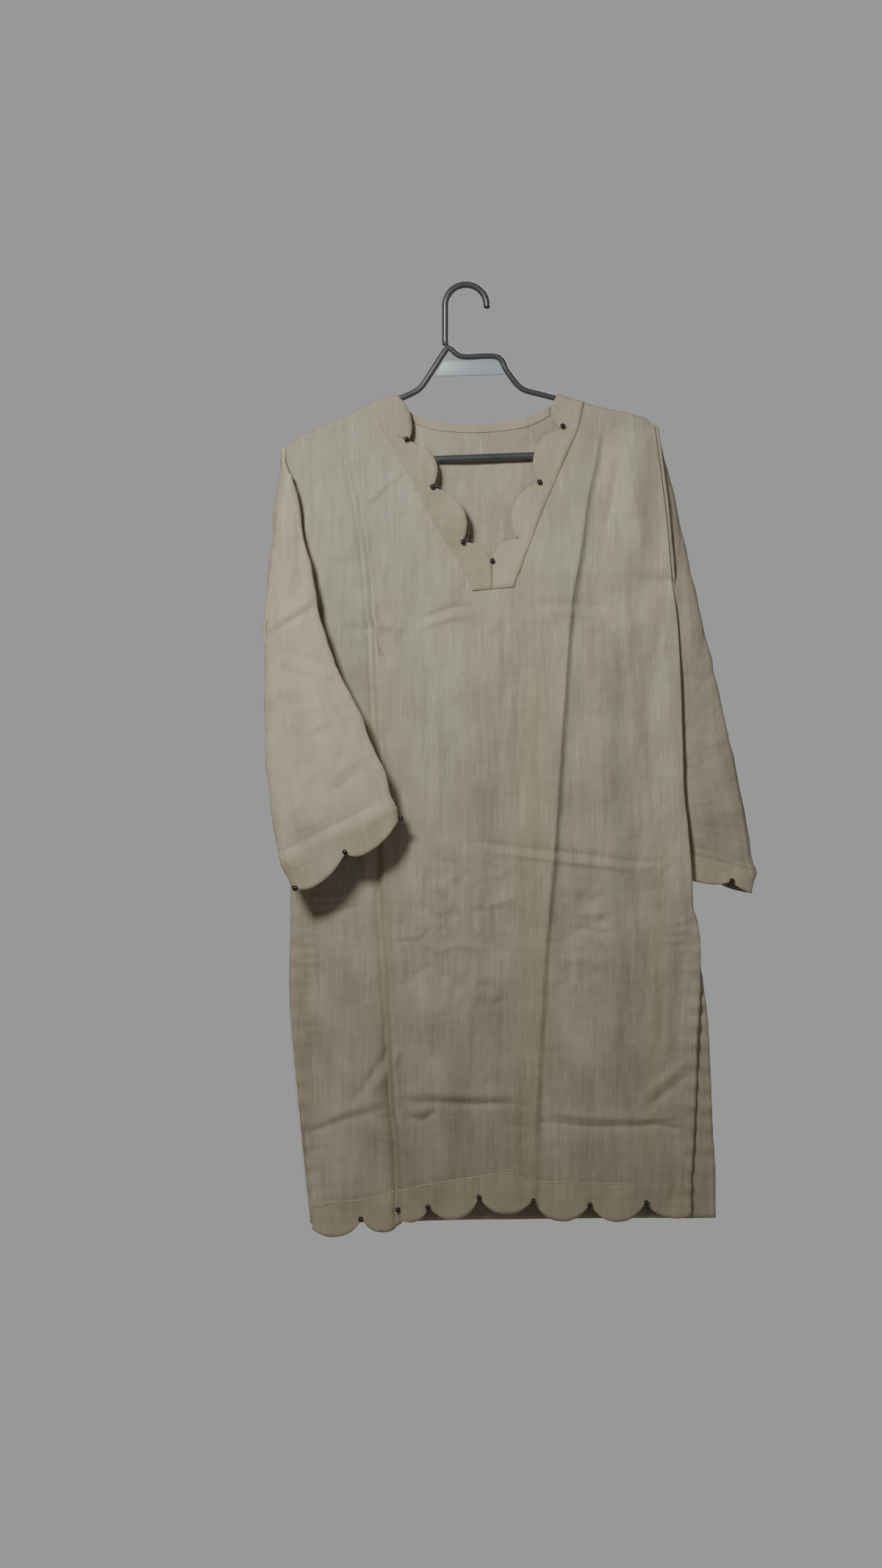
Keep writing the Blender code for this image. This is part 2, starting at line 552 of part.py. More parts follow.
def main():
    clear_scene()
    cloth = material("Tunic cloth", "cloth", 0.85)
    lighter = material("Facing cloth", "facing", 0.85)
    plastic = material("Grey plastic", "plastic", 0.3)
    plate_look = material("Pale plate", "plate", 0.35)

    points, faces, cells = build_front()
    cloth_object("front_panel", surface("front_panel", points, faces), CLOTH, cloth)
    neck_rows = ARC_ROWS + sum(row[3] for row in NECK_EDGE["left"]) + FOOT_ROWS
    hem_row = max(row for _, row, _ in cells) + 1 - HEM_ROWS
    chosen = [number for number, (_, row, column) in enumerate(cells)
              if row < neck_rows and column < FOLD_COLUMN // 2]
    layer_on("neck_facing", points, faces, chosen, FACING_OFFSET, FACING, lighter)
    chosen = [number for number, (_, row, _) in enumerate(cells) if row >= hem_row]
    layer_on("hem_facing", points, faces, chosen, FACING_OFFSET, FACING, lighter)

    points, faces, cells, in_neck = build_back()
    cloth_object("back_panel", surface("back_panel", points, faces), CLOTH, cloth)
    facing_columns = np.flatnonzero(in_neck)[BACK_FACING_COLUMNS]
    chosen = [number for number, (row, column) in enumerate(cells)
              if row <= ARC_ROWS and column in facing_columns]
    layer_on("back_neck_facing", points, faces, chosen, -FACING_OFFSET, FACING, lighter)

    for side in ("left", "right"):
        points, faces, cells, rings = build_sleeve(side)
        cloth_object("sleeve_" + side, surface("sleeve_" + side, points, faces), CLOTH, cloth)
        chosen = [number for number, (ring, _) in enumerate(cells) if ring >= rings - 1 - CUFF_RINGS]
        layer_on("cuff_facing_" + side, points, faces, chosen, FACING_OFFSET, FACING, lighter)

    build_hanger(plastic, plate_look)


main()
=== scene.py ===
# A scallop-edged tunic dress on its hanger: cloth, beads, sewing and plastic.
# Tables are in millimetres, x from the hook's axis and drop down from the hook's inner top, as in the part.
import math

import bpy
import bmesh
import numpy as np
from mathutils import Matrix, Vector


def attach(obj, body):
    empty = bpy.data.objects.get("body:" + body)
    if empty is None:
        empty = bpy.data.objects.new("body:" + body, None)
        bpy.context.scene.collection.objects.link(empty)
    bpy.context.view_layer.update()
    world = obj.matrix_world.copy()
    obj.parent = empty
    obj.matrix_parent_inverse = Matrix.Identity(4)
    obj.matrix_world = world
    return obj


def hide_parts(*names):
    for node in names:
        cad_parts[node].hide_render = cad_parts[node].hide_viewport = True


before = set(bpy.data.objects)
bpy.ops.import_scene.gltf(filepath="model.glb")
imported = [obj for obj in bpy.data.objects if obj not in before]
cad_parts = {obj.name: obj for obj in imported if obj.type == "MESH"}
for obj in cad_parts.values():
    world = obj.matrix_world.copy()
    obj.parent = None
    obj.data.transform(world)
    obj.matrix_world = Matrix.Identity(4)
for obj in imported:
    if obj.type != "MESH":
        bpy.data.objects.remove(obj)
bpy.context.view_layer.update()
mm = 0.001
print("frame:", len(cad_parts), "nodes")


# Camera, light and floor

view = {"x": -28.6, "drop": 566.9, "distance": 2400.0, "frameHeight": 1791.7, "sensor": 36.0}
lights = {
    "key": {"at": (-0.62, -1.60, 0.32), "aim": (-0.06, 0.0, -0.34), "size": 0.38, "spread": 62, "watts": 3.3,
            "colour": (1.0, 0.98, 0.925)},
    "fill": {"at": (1.5, -1.9, -0.35), "aim": (0.02, 0.0, -0.55), "size": 1.6, "spread": 180, "watts": 3.0,
             "colour": (0.93, 0.96, 1.0)},
    "rear": {"at": (0.3, 2.2, 0.7), "aim": (0.02, 0.0, -0.55), "size": 1.2, "spread": 180, "watts": 34.0,
             "colour": (1.0, 0.98, 0.95)},
}
# the grey seen behind the dress, and the dimmer light of the room round it
surroundings = {
    "seen": (0.343, 0.343, 0.343, 1), "felt": (0.112, 0.090, 0.075, 1), "floorDrop": 1550.0,
    "floorSize": (3.4, 2.5), "floorBack": 0.2, "floorPaint": (0.62, 0.62, 0.61, 1), "floorRough": 0.9,
}


def addCamera():
    data = bpy.data.cameras.new("camera")
    data.sensor_fit = "VERTICAL"
    data.sensor_height = view["sensor"]
    data.lens = view["sensor"] * view["distance"] / view["frameHeight"]
    camera = bpy.data.objects.new("camera", data)
    camera.location = (view["x"] * mm, -view["distance"] * mm, -view["drop"] * mm)
    camera.rotation_euler = (math.pi / 2, 0, 0)
    bpy.context.scene.collection.objects.link(camera)
    bpy.context.scene.camera = camera


def addLights():
    for name, lamp in lights.items():
        data = bpy.data.lights.new(name, "AREA")
        data.shape = "DISK"
        data.size = lamp["size"]
        data.spread = math.radians(lamp["spread"])
        data.energy = lamp["watts"]
        data.color = lamp["colour"]
        made = bpy.data.objects.new(name, data)
        made.location = lamp["at"]
        made.rotation_euler = (Vector(lamp["aim"]) - Vector(lamp["at"])).to_track_quat("-Z", "Y").to_euler()
        bpy.context.scene.collection.objects.link(made)


def addSurroundings():
    world = bpy.data.worlds.new("studio")
    world.use_nodes = True
    tree = world.node_tree
    seen, felt = tree.nodes["Background"], tree.nodes.new("ShaderNodeBackground")
    seen.inputs["Color"].default_value = surroundings["seen"]
    felt.inputs["Color"].default_value = surroundings["felt"]
    chosen = tree.nodes.new("ShaderNodeMixShader")
    tree.links.new(tree.nodes.new("ShaderNodeLightPath").outputs["Is Camera Ray"], chosen.inputs[0])
    tree.links.new(felt.outputs[0], chosen.inputs[1])
    tree.links.new(seen.outputs[0], chosen.inputs[2])
    tree.links.new(chosen.outputs[0], tree.nodes["World Output"].inputs["Surface"])
    bpy.context.scene.world = world
    wide, deep = surroundings["floorSize"]
    back, low = surroundings["floorBack"], -surroundings["floorDrop"] * mm
    mesh = bpy.data.meshes.new("floor")
    corners = [(-wide / 2, back - deep, low), (wide / 2, back - deep, low), (wide / 2, back, low),
               (-wide / 2, back, low)]
    mesh.from_pydata(corners, [], [(0, 1, 2, 3)])
    floor = bpy.data.objects.new("floor", mesh)
    bpy.context.scene.collection.objects.link(floor)
    paint = bpy.data.materials.new("pale floor")
    paint.use_nodes = True
    shader = paint.node_tree.nodes["Principled BSDF"]
    shader.inputs["Base Color"].default_value = surroundings["floorPaint"]
    shader.inputs["Roughness"].default_value = surroundings["floorRough"]
    mesh.materials.append(paint)


addCamera()
addLights()
addSurroundings()
print("camera and light")


# Curves, relief and grids

# how many widths off a crease is worked out, how it dies out at its ends, its width's share, its crispness
creaseShape = {"reach": 3.2, "taper": 0.5, "share": 0.85, "crispness": 1.25}


def smoothStep(value):
    # v squared times (3 - 2 v) between 0 and 1, level at both ends
    value = np.clip(value, 0.0, 1.0)
    return value * value * (3 - 2 * value)


def along(table, at, column=0, by=1):
    # a cubic through the table's rows with no overshoot: its tangents are harmonic means of the slopes beside
    rows = np.array(table, float)
    rows = rows[np.argsort(rows[:, by])]
    knots, values = rows[:, by], rows[:, column]
    gaps = np.diff(knots)
    slopes = np.diff(values) / gaps
    product = slopes[:-1] * slopes[1:]
    total = np.where(product > 0, slopes[:-1] + slopes[1:], 1.0)
    tangents = np.concatenate([slopes[:1], np.where(product > 0, 2 * product / total, 0.0), slopes[-1:]])
    at = np.clip(at, knots[0], knots[-1])
    cell = np.clip(np.searchsorted(knots, at, side="right") - 1, 0, len(gaps) - 1)
    part = (at - knots[cell]) / gaps[cell]
    return (values[cell] * (1 + 2 * part) * (1 - part) ** 2 + values[cell + 1] * part**2 * (3 - 2 * part)
            + gaps[cell] * part * (1 - part) * (tangents[cell] * (1 - part) - tangents[cell + 1] * part))


def nearestOn(path, x, drop):
    # how far along a line of points each spot's nearest place is, the signed distance off it, and its length
    path = np.array(path, float)
    best = np.full(np.shape(x), 1e9)
    run, side, start = np.zeros(np.shape(x)), np.zeros(np.shape(x)), 0.0
    for (x0, d0), (x1, d1) in zip(path[:-1], path[1:]):
        length = math.hypot(x1 - x0, d1 - d0)
        ux, ud = (x1 - x0) / length, (d1 - d0) / length
        part = np.clip((x - x0) * ux + (drop - d0) * ud, 0, length)
        away = np.hypot(x - x0 - part * ux, drop - d0 - part * ud)
        nearer = away < best
        best = np.where(nearer, away, best)
        run = np.where(nearer, start + part, run)
        side = np.where(nearer, np.sign((x - x0) * ud - (drop - d0) * ux), side)
        start += length
    return run, best * side, start


def creaseRelief(x, drop, creases):
    # each crease is a ridge or trough with a crisp line, wider on one side, that dies out at both ends
    relief = np.zeros(np.shape(x))
    for height, width, lean, *path in creases:
        path = np.array(path, float)
        margin = creaseShape["reach"] * width * (1 + abs(lean))
        near = ((x > path[:, 0].min() - margin) & (x < path[:, 0].max() + margin)
                & (drop > path[:, 1].min() - margin) & (drop < path[:, 1].max() + margin))
        if not near.any():
            continue
        run, away, length = nearestOn(path, x[near], drop[near])
        taper = np.sin(np.pi * np.clip(run / length, 0.0, 1.0)) ** creaseShape["taper"]
        wide = creaseShape["share"] * width * (1 + lean * np.sign(away))
        relief[near] += height * taper * np.exp(-((np.abs(away) / wide) ** creaseShape["crispness"]))
    return relief


def scatteredCreases(seed, count, across, down, length, height, width, heading, spread):
    # short bent creases, up or down, at random places in a range of x and of drop, most near one heading
    random = np.random.default_rng(seed)
    found = []
    for _ in range(count):
        x, drop = random.uniform(*across), random.uniform(*down)
        reach = random.uniform(*length) / 2
        turn = math.radians(heading + random.normal(0, spread))
        bend = random.uniform(-0.25, 0.25) * reach
        dx, dd = math.cos(turn) * reach, math.sin(turn) * reach
        size = random.uniform(*height) * random.choice((-1, 1))
        found.append((size, random.uniform(*width), random.uniform(-0.5, 0.5), (x - dx, drop - dd),
                      (x - dd / reach * bend, drop + dx / reach * bend), (x + dx, drop + dd)))
    return found


def ripple(x, drop, seed, wavelength, height, waves=9):
    # a sum of sine waves in random directions, their phase bent by slower ones
    random = np.random.default_rng(seed)
    total = np.zeros(np.shape(x))
    for _ in range(waves):
        turn, phase, bend = (random.uniform(0, most) for most in (np.pi, 2 * np.pi, 2 * np.pi))
        pace = 2 * np.pi / (wavelength * random.uniform(0.7, 1.5))
        forward = x * math.cos(turn) + drop * math.sin(turn)
        across = drop * math.cos(turn) - x * math.sin(turn)
        total += np.sin(forward * pace + phase + 1.3 * np.sin(across * pace * 0.6 + bend))
    return total * height / math.sqrt(waves)


def ripples(x, drop, rows):
    # rows of seed, wavelength and height
    return sum(ripple(x, drop, *row) for row in rows)


def puckers(x, drop, path, spacing, height, reach, seed):
    # little waves that run off a sewn line at right angles, uneven in pace and height, dying out away from it
    run, away, _ = nearestOn(path, x, drop)
    random = np.random.default_rng(seed)
    phases = random.uniform(0, 2 * np.pi, 4)
    uneven = 1.2 * np.sin(run / (3.1 * spacing) + phases[0]) + 0.8 * np.sin(run / (1.7 * spacing) + phases[1])
    beat = np.sin(run / (4.3 * spacing) + phases[2]) * np.sin(run / (2.3 * spacing) + phases[3])
    waves = np.sin(2 * np.pi * run / spacing + uneven)
    return height * (0.62 + 0.38 * beat) * waves * np.exp(-((away / reach) ** 2))


def stations(values, counts):
    # values from one station to the next, each stretch cut into its number of rows
    rows = [values[0]]
    for start, end, count in zip(values, values[1:], counts):
        rows.extend(start + (end - start) * (step + 1) / count for step in range(count))
    return np.array(rows)


def gridNormals(points, closed=False):
    # the cross product of the two ways along the grid
    if closed:
        across = np.roll(points, -1, axis=1) - np.roll(points, 1, axis=1)
    else:
        across = np.gradient(points, axis=1)
    normals = np.cross(across, np.gradient(points, axis=0))
    return normals / np.maximum(np.linalg.norm(normals, axis=2, keepdims=True), 1e-9)


def pieceOf(name, mesh, look):
    # an object of the mesh at the origin, on the part's one body
    mesh.materials.append(look)
    piece = bpy.data.objects.new(name, mesh)
    bpy.context.scene.collection.objects.link(piece)
    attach(piece, "root")
    return piece


def gridMesh(name, grids, look, wall, closed=False):
    # grids are (points, flat, flip): rows by columns by 3 in mm, the same by 2 where the cloth lies flat, and
    # whether its faces run the other way round
    places, quads, flats = [], [], []
    start = 0
    for points, flat, flip in grids:
        rows, columns = points.shape[:2]
        corner = start + np.arange(rows * columns).reshape(rows, columns)
        if closed:
            corner = np.concatenate([corner, corner[:, :1]], axis=1)
        quad = np.stack([corner[:-1, :-1], corner[1:, :-1], corner[1:, 1:], corner[:-1, 1:]], axis=-1)
        lay = np.stack([flat[:-1, :-1], flat[1:, :-1], flat[1:, 1:], flat[:-1, 1:]], axis=2)
        if flip:
            quad, lay = quad[..., ::-1], lay[:, :, ::-1]
        places.append(points.reshape(-1, 3) * mm)
        quads.append(quad.reshape(-1, 4))
        flats.append(lay.reshape(-1, 4, 2) * mm)
        start += rows * columns
    places, quads, flats = np.concatenate(places), np.concatenate(quads), np.concatenate(flats)
    mesh = bpy.data.meshes.new(name)
    mesh.vertices.add(len(places))
    mesh.vertices.foreach_set("co", places.ravel())
    mesh.loops.add(quads.size)
    mesh.loops.foreach_set("vertex_index", quads.ravel())
    mesh.polygons.add(len(quads))
    mesh.polygons.foreach_set("loop_start", np.arange(0, quads.size, 4))
    mesh.update(calc_edges=True)
    layer = mesh.uv_layers.new(name="flat")
    layer.data.foreach_set("uv", flats.ravel())
    if len(grids) > 1:
        whole = bmesh.new()
        whole.from_mesh(mesh)
        bmesh.ops.remove_doubles(whole, verts=whole.verts, dist=1e-6)
        whole.to_mesh(mesh)
        whole.free()
    mesh.shade_smooth()
    piece = pieceOf(name, mesh, look)
    thickness = piece.modifiers.new("wall", "SOLIDIFY")
    thickness.thickness = wall * mm
    thickness.offset = 0.0
    return piece


# Cloth, plastic and bead materials

# the darkest and the lightest thread, and how strongly the streaks along x and along the drop show
clothLooks = {
    "tunic cloth": {"dark": (0.325, 0.308, 0.257), "light": (0.580, 0.554, 0.472), "warp": 1.0, "weft": 0.22},
    # the sleeves are the tunic's own cloth: the left one's is painted lighter, as lit, and the right one's
    # darker, as painted shade where it hangs behind
    "left sleeve cloth with painted shading": {"dark": (0.400, 0.372, 0.298), "light": (0.680, 0.638, 0.520),
                          "warp": 0.6, "weft": 0.35},
    "right sleeve cloth with painted shading": {"dark": (0.305, 0.287, 0.236), "light": (0.560, 0.530, 0.442),
                           "warp": 0.3, "weft": 0.8},
    "facing cloth": {"dark": (0.350, 0.320, 0.250), "light": (0.600, 0.553, 0.440), "warp": 0.6, "weft": 0.3},
}
# each noise on the flat cloth: how tightly it is drawn along x and the drop, detail, roughness, its start
clothNoises = {
    "warp": ((780.0, 16.0, 1.0), 3.0, 0.62, (0.0, 0.0, 0.0)),
    "weft": ((15.0, 820.0, 1.0), 3.0, 0.62, (3.0, 7.0, 0.0)),
    "warpSlubs": ((330.0, 24.0, 1.0), 1.0, 0.5, (11.0, 2.0, 0.0)),
    "weftSlubs": ((22.0, 360.0, 1.0), 1.0, 0.5, (5.0, 19.0, 0.0)),
    # wider streaks, where thick and thin threads bunch
    "ribs": ((120.0, 8.0, 1.0), 4.0, 0.6, (1.0, 9.0, 0.0)),
    "bars": ((9.0, 130.0, 1.0), 4.0, 0.6, (6.0, 3.0, 0.0)),
    # slow changes of colour
    "stripes": ((24.0, 1.6, 1.0), 2.0, 0.55, (2.0, 4.0, 0.0)),
    "blots": ((13.0, 7.0, 1.0), 3.0, 0.55, (4.0, 6.0, 0.0)),
    "mottle": ((26.0, 15.0, 1.0), 3.0, 0.5, (0.0, 0.0, 0.0)),
    "crumple": ((62.0, 48.0, 1.0), 4.0, 0.58, (8.0, 1.0, 0.0)),
}
# shares of the tone, ranges of the noises that count, and the surface
clothFinish = {
    "thread": 0.54, "threadHalf": 0.30, "slub": 0.34, "slubRange": (0.62, 0.78), "streak": (-0.13, 0.15),
    "streakRange": (0.28, 0.72), "mottle": (-0.10, 0.24), "mottleRange": (0.3, 0.7),
    "stripeRange": (0.40, 0.60), "rosyRange": (0.52, 0.68), "rough": (0.92, 0.78),
    "weave": {"Scale": 190.0, "Distortion": 1.2, "Detail": 1.0}, "weaveShare": 0.18,
    "threadBump": {"Strength": 0.55, "Distance": 0.0005},
    "crumpleBump": {"Strength": 0.6, "Distance": 0.0030},
    "sockets": {"Sheen Weight": 0.12, "Sheen Roughness": 0.55, "Sheen Tint": (0.95, 0.92, 0.85, 1),
                "Specular IOR Level": 0.25},
}
# each tint multiplies the cloth's own colour: warm, cool and rosy vary its tone at random; the yellow-brown
# one is partly real staining and partly painted shade; grey lays painted shade and light lays painted light
clothTints = {"warm": (1.01, 0.992, 0.935), "cool": (0.975, 0.988, 0.955), "rosy": (1.01, 0.98, 0.955),
              "stain and fold shade": (0.95, 0.905, 0.815), "grey": (0.79, 0.81, 0.79), "light": (1.36, 1.37, 1.38)}
# bands down the panels, in metres: the middle at drop 0, its drift with the drop, half width, and the drops
# between which they are strongest; the slanting yellow-brown ones go along the two long folds as painted
# shade, the other yellow-brown ones are stains; the grey bands are painted shade, the light ones painted
# light
clothBands = {
    "stain and fold shade": ((0.0935, -0.027, 0.030, 0.42, 1.02), (-0.1305, 0.0485, 0.010, 0.50, 1.04),
             (0.218, 0.0, 0.011, 0.62, 0.98), (-0.187, 0.0, 0.012, 0.70, 0.98)),
    "grey": ((0.170, 0.0, 0.020, 0.42, 0.96), (0.151, -0.067, 0.010, 0.42, 0.72),
             (0.022, 0.0, 0.024, 0.46, 0.66), (-0.008, 0.0, 0.018, 0.84, 1.0),
             (0.142, 0.0, 0.012, 0.20, 0.34), (0.212, 0.0, 0.010, 0.24, 0.46),
             (-0.128, 0.0, 0.020, 0.40, 0.56), (0.166, 0.0, 0.034, 0.98, 1.02)),
    "light": ((0.216, 0.0, 0.028, 0.28, 0.66), (0.170, 0.0, 0.030, 0.18, 0.32),
              (-0.158, 0.0, 0.056, 0.95, 1.12)),
}
# the same on the facings: the hem's left end is painted paler, as lit, and the neck's left arm duller
facingBands = {
    "light": ((-0.150, 0.0, 0.072, 1.06, 1.12),),
    "grey": ((-0.146, 0.456, 0.030, 0.16, 0.34),),
}
# how far a band's edge wavers, its half width's shares in full tint and at its edge, how far above its top it
# starts and is full, and below its bottom it fades to a remainder, and the most that shows
bandEdge = {"waver": 0.007, "core": 0.25, "edge": 1.25, "above": (0.10, 0.06), "below": (0.04, 0.10),
            "remainder": 0.3, "most": 0.8}


class Nodes:
    # a material's node tree, with short calls to add nodes and join them
    def __init__(self, name):
        self.material = bpy.data.materials.new(name)
        self.material.use_nodes = True
        self.tree = self.material.node_tree
        self.shader = self.tree.nodes["Principled BSDF"]

    def add(self, kind, inputs=None, **settings):
        made = self.tree.nodes.new("ShaderNode" + kind)
        for key, value in settings.items():
            setattr(made, key, value)
        for key, value in (inputs or {}).items():
            if isinstance(value, bpy.types.NodeSocket):
                self.tree.links.new(value, made.inputs[key])
            else:
                made.inputs[key].default_value = value
        return made

    def noise(self, where, stretch, detail=2.0, roughness=0.5, shift=(0.0, 0.0, 0.0)):
        placed = self.add("Mapping", {"Vector": where, "Scale": stretch, "Location": shift})
        return self.add("TexNoise", {"Vector": placed.outputs[0], "Scale": 1.0, "Detail": detail,
                                     "Roughness": roughness}).outputs["Fac"]

    def spread(self, value, low, high, to=(0.0, 1.0)):
        return self.add("MapRange", {"Value": value, "From Min": low, "From Max": high, "To Min": to[0],
                                     "To Max": to[1]}, clamp=True).outputs[0]

    def math(self, how, first, second):
        return self.add("Math", {0: first, 1: second}, operation=how).outputs[0]

    def mix(self, share, first, second, how="MIX"):
        made = self.add("Mix", {0: share, 6: first, 7: second}, data_type="RGBA", blend_type=how)
        return made.outputs[2]

    def join(self, value, name):
        self.tree.links.new(value, self.shader.inputs[name])


def bandShare(cloth, where, wobble, bands):
    # how much of a band's tint shows: soft-edged bands down the panels, their edges pushed about by a noise
    apart = cloth.add("SeparateXYZ", {"Vector": where}).outputs
    waver, (above, full), (last, faded) = bandEdge["waver"], bandEdge["above"], bandEdge["below"]
    x = cloth.math("ADD", apart["X"], cloth.spread(wobble, 0.3, 0.7, (-waver, waver)))
    total = 0.0
    for start, drift, half, top, bottom in bands:
        middle = cloth.add("Math", {0: apart["Y"], 1: drift, 2: start}, operation="MULTIPLY_ADD").outputs[0]
        away = cloth.math("ABSOLUTE", cloth.math("SUBTRACT", x, middle), 0.0)
        across = cloth.spread(away, half * bandEdge["core"], half * bandEdge["edge"], (1.0, 0.0))
        fade = (1.0, bandEdge["remainder"])
        down = cloth.math("MULTIPLY", cloth.spread(apart["Y"], top - above, top + full),
                          cloth.spread(apart["Y"], bottom - last, bottom + faded, fade))
        total = cloth.math("MAXIMUM", total, cloth.math("MULTIPLY", across, down))
    return cloth.math("MULTIPLY", total, bandEdge["most"])


def clothMaterial(name):
    # slubby plain weave on the piece's own flat map, in metres: long thin streaks along each set of threads
    look, finish = clothLooks[name], clothFinish
    cloth = Nodes(name)
    where = cloth.add("UVMap", uv_map="flat").outputs[0]
    noises = {kind: cloth.noise(where, *row) for kind, row in clothNoises.items()}
    streaks = cloth.math("ADD", cloth.math("MULTIPLY", noises["warp"], look["warp"]),
                         cloth.math("MULTIPLY", noises["weft"], look["weft"]))
    middle = 0.5 * (look["warp"] + look["weft"])
    thread = cloth.spread(streaks, middle - finish["threadHalf"], middle + finish["threadHalf"])
    warpSlubs, weftSlubs = (cloth.math("MULTIPLY", cloth.spread(noises[ways + "Slubs"], *finish["slubRange"]),
                                       finish["slub"] * look[ways]) for ways in ("warp", "weft"))
    slubs = cloth.math("ADD", warpSlubs, weftSlubs)
    tone = cloth.math("ADD", cloth.math("MULTIPLY", thread, finish["thread"]), slubs)
    for wide, share in ((noises["ribs"], look["warp"]), (noises["bars"], look["weft"])):
        streak = tuple(end * share for end in finish["streak"])
        tone = cloth.math("ADD", tone, cloth.spread(wide, *finish["streakRange"], streak))
    tone = cloth.math("ADD", tone, cloth.spread(noises["mottle"], *finish["mottleRange"], finish["mottle"]))
    tones = cloth.mix(cloth.spread(tone, 0.0, 1.0), (*look["dark"], 1), (*look["light"], 1))
    tint = cloth.mix(cloth.spread(noises["stripes"], *finish["stripeRange"]), (*clothTints["cool"], 1),
                     (*clothTints["warm"], 1))
    tint = cloth.mix(cloth.spread(noises["blots"], *finish["rosyRange"]), tint, (*clothTints["rosy"], 1))
    # the band tables lay painted shade, painted light and stains over the cloth's tone
    faded = {"tunic cloth": clothBands, "facing cloth": facingBands}
    for kind, rows in faded.get(name, {}).items():
        banded = cloth.mix(1.0, tint, (*clothTints[kind], 1), "MULTIPLY")
        tint = cloth.mix(bandShare(cloth, where, noises["blots"], rows), tint, banded)
    cloth.join(cloth.mix(1.0, tones, tint, "MULTIPLY"), "Base Color")
    cloth.join(cloth.spread(thread, 0.0, 1.0, finish["rough"]), "Roughness")
    weave = cloth.add("TexWave", {"Vector": where, **finish["weave"]}, bands_direction="Y").outputs["Fac"]
    relief = cloth.math("ADD", cloth.math("ADD", streaks, slubs),
                        cloth.math("MULTIPLY", weave, finish["weaveShare"]))
    threads = cloth.add("Bump", {"Height": relief, **finish["threadBump"]})
    crumpled = cloth.add("Bump", {"Height": noises["crumple"], "Normal": threads.outputs[0],
                                  **finish["crumpleBump"]})
    cloth.join(crumpled.outputs[0], "Normal")
    for socket, value in finish["sockets"].items():
        cloth.shader.inputs[socket].default_value = value
    return cloth.material


def plasticMaterial(name, dark, light, rough):
    # smooth moulded plastic with faint flow marks and fine scuffs
    plastic = Nodes(name)
    where = plastic.add("TexCoord").outputs["Object"]
    cloud = plastic.noise(where, (14.0, 14.0, 14.0), detail=3.0)
    scuff = plastic.noise(where, (420.0, 420.0, 160.0), detail=2.0)
    plastic.join(plastic.mix(plastic.spread(cloud, 0.35, 0.65), (*dark, 1), (*light, 1)), "Base Color")
    plastic.join(plastic.spread(scuff, 0.4, 0.8, (rough, rough + 0.10)), "Roughness")
    bump = plastic.add("Bump", {"Strength": 0.05, "Distance": 0.0001, "Height": scuff})
    plastic.join(bump.outputs[0], "Normal")
    plastic.shader.inputs["Coat Weight"].default_value = 0.2
    plastic.shader.inputs["Coat Roughness"].default_value = 0.15
    return plastic.material


def beadMaterial():
    # glossy black glass with faint cloudiness
    bead = Nodes("black bead")
    where = bead.add("TexCoord").outputs["Object"]
    cloud = bead.noise(where, (500.0, 500.0, 500.0))
    bead.join(bead.mix(cloud, (0.004, 0.004, 0.005, 1), (0.022, 0.020, 0.022, 1)), "Base Color")
    bead.join(bead.spread(cloud, 0.3, 0.7, (0.08, 0.2)), "Roughness")
    bead.shader.inputs["Coat Weight"].default_value = 0.6
    return bead.material


def threadMaterial():
    # matt cotton thread, a shade darker than the cloth, with its twist
    thread = Nodes("sewing thread")
    where = thread.add("TexCoord").outputs["Object"]
    cloud = thread.noise(where, (160.0, 160.0, 160.0), detail=2.0)
    thread.join(thread.mix(cloud, (0.24, 0.21, 0.16, 1), (0.44, 0.40, 0.32, 1)), "Base Color")
    thread.shader.inputs["Roughness"].default_value = 0.8
    twist = thread.noise(where, (4200.0, 4200.0, 4200.0))
    bump = thread.add("Bump", {"Strength": 0.4, "Distance": 0.0001, "Height": twist})
    thread.join(bump.outputs[0], "Normal")
    return thread.material


looks = {name: clothMaterial(name) for name in clothLooks}
looks["plastic"] = plasticMaterial("grey hanger plastic", (0.060, 0.068, 0.076), (0.085, 0.094, 0.104), 0.26)
looks["plate"] = plasticMaterial("pale plate plastic", (0.33, 0.41, 0.47), (0.40, 0.48, 0.54), 0.36)
looks["bead"] = beadMaterial()
looks["thread"] = threadMaterial()
print("materials:", len(looks))


# The panels' common shape

hanging = {
    "armRadius": 3.4, "clearance": 0.65, "cadWall": 1.2, "slope": 0.94, "seamOffset": 0.75,
    "shoulderEdge": 0.2,
    "armholeDepth": 9.0, "armholeOval": 0.8, "armholeBottom": {"left": 368.3, "right": 332.1},
    # how far down the bow and the blend to the side seams are full, and the blend's width above and below
    "bowDown": 150.0, "blendDown": (10.0, 200.0), "edgeReach": (14.0, 95.0), "middle": 20.0,
    "neckEnds": ((-78.1, 123.0), (104.2, 122.1)),
    "shoulder": ((-205.4, 182.1), (-190.1, 169.6), (-162.1, 158.3), (-136.1, 146.5), (-108.8, 132.6),
                 (-78.1, 123.0), (104.2, 122.1), (134.4, 131.4), (157.1, 137.3), (204.1, 149.0),
                 (214.9, 157.4)),
    "sideEdge": {
        "left": ((-205.4, 182.1), (-203.3, 259.1), (-200.8, 368.3), (-199.9, 511.1), (-200.8, 695.9),
                 (-202.2, 733.7), (-204.5, 796.7), (-199.5, 887.4), (-191.5, 970.5), (-179.8, 1064.6),
                 (-175.6, 1074.7)),
        "right": ((214.9, 157.4), (221.8, 212.9), (227.6, 259.1), (234.9, 332.1), (240.7, 374.1),
                  (244.4, 426.2), (247.8, 521.1), (249.0, 568.2), (253.7, 615.6), (259.1, 684.1),
                  (259.6, 705.1), (265.4, 724.4), (268.8, 757.2), (268.8, 788.3), (265.4, 863.9),
                  (262.9, 958.8), (259.6, 1017.6), (257.0, 1058.7)),
    },
    "slitTop": {"left": 695.9, "right": 705.1}, "slitStand": 2.4, "slitReach": 20.0,
    "bar": ((-178.0, 201.5), (190.0, 187.4)), "barReach": 5.3, "pastBar": 4.0, "still": 25.0,
}
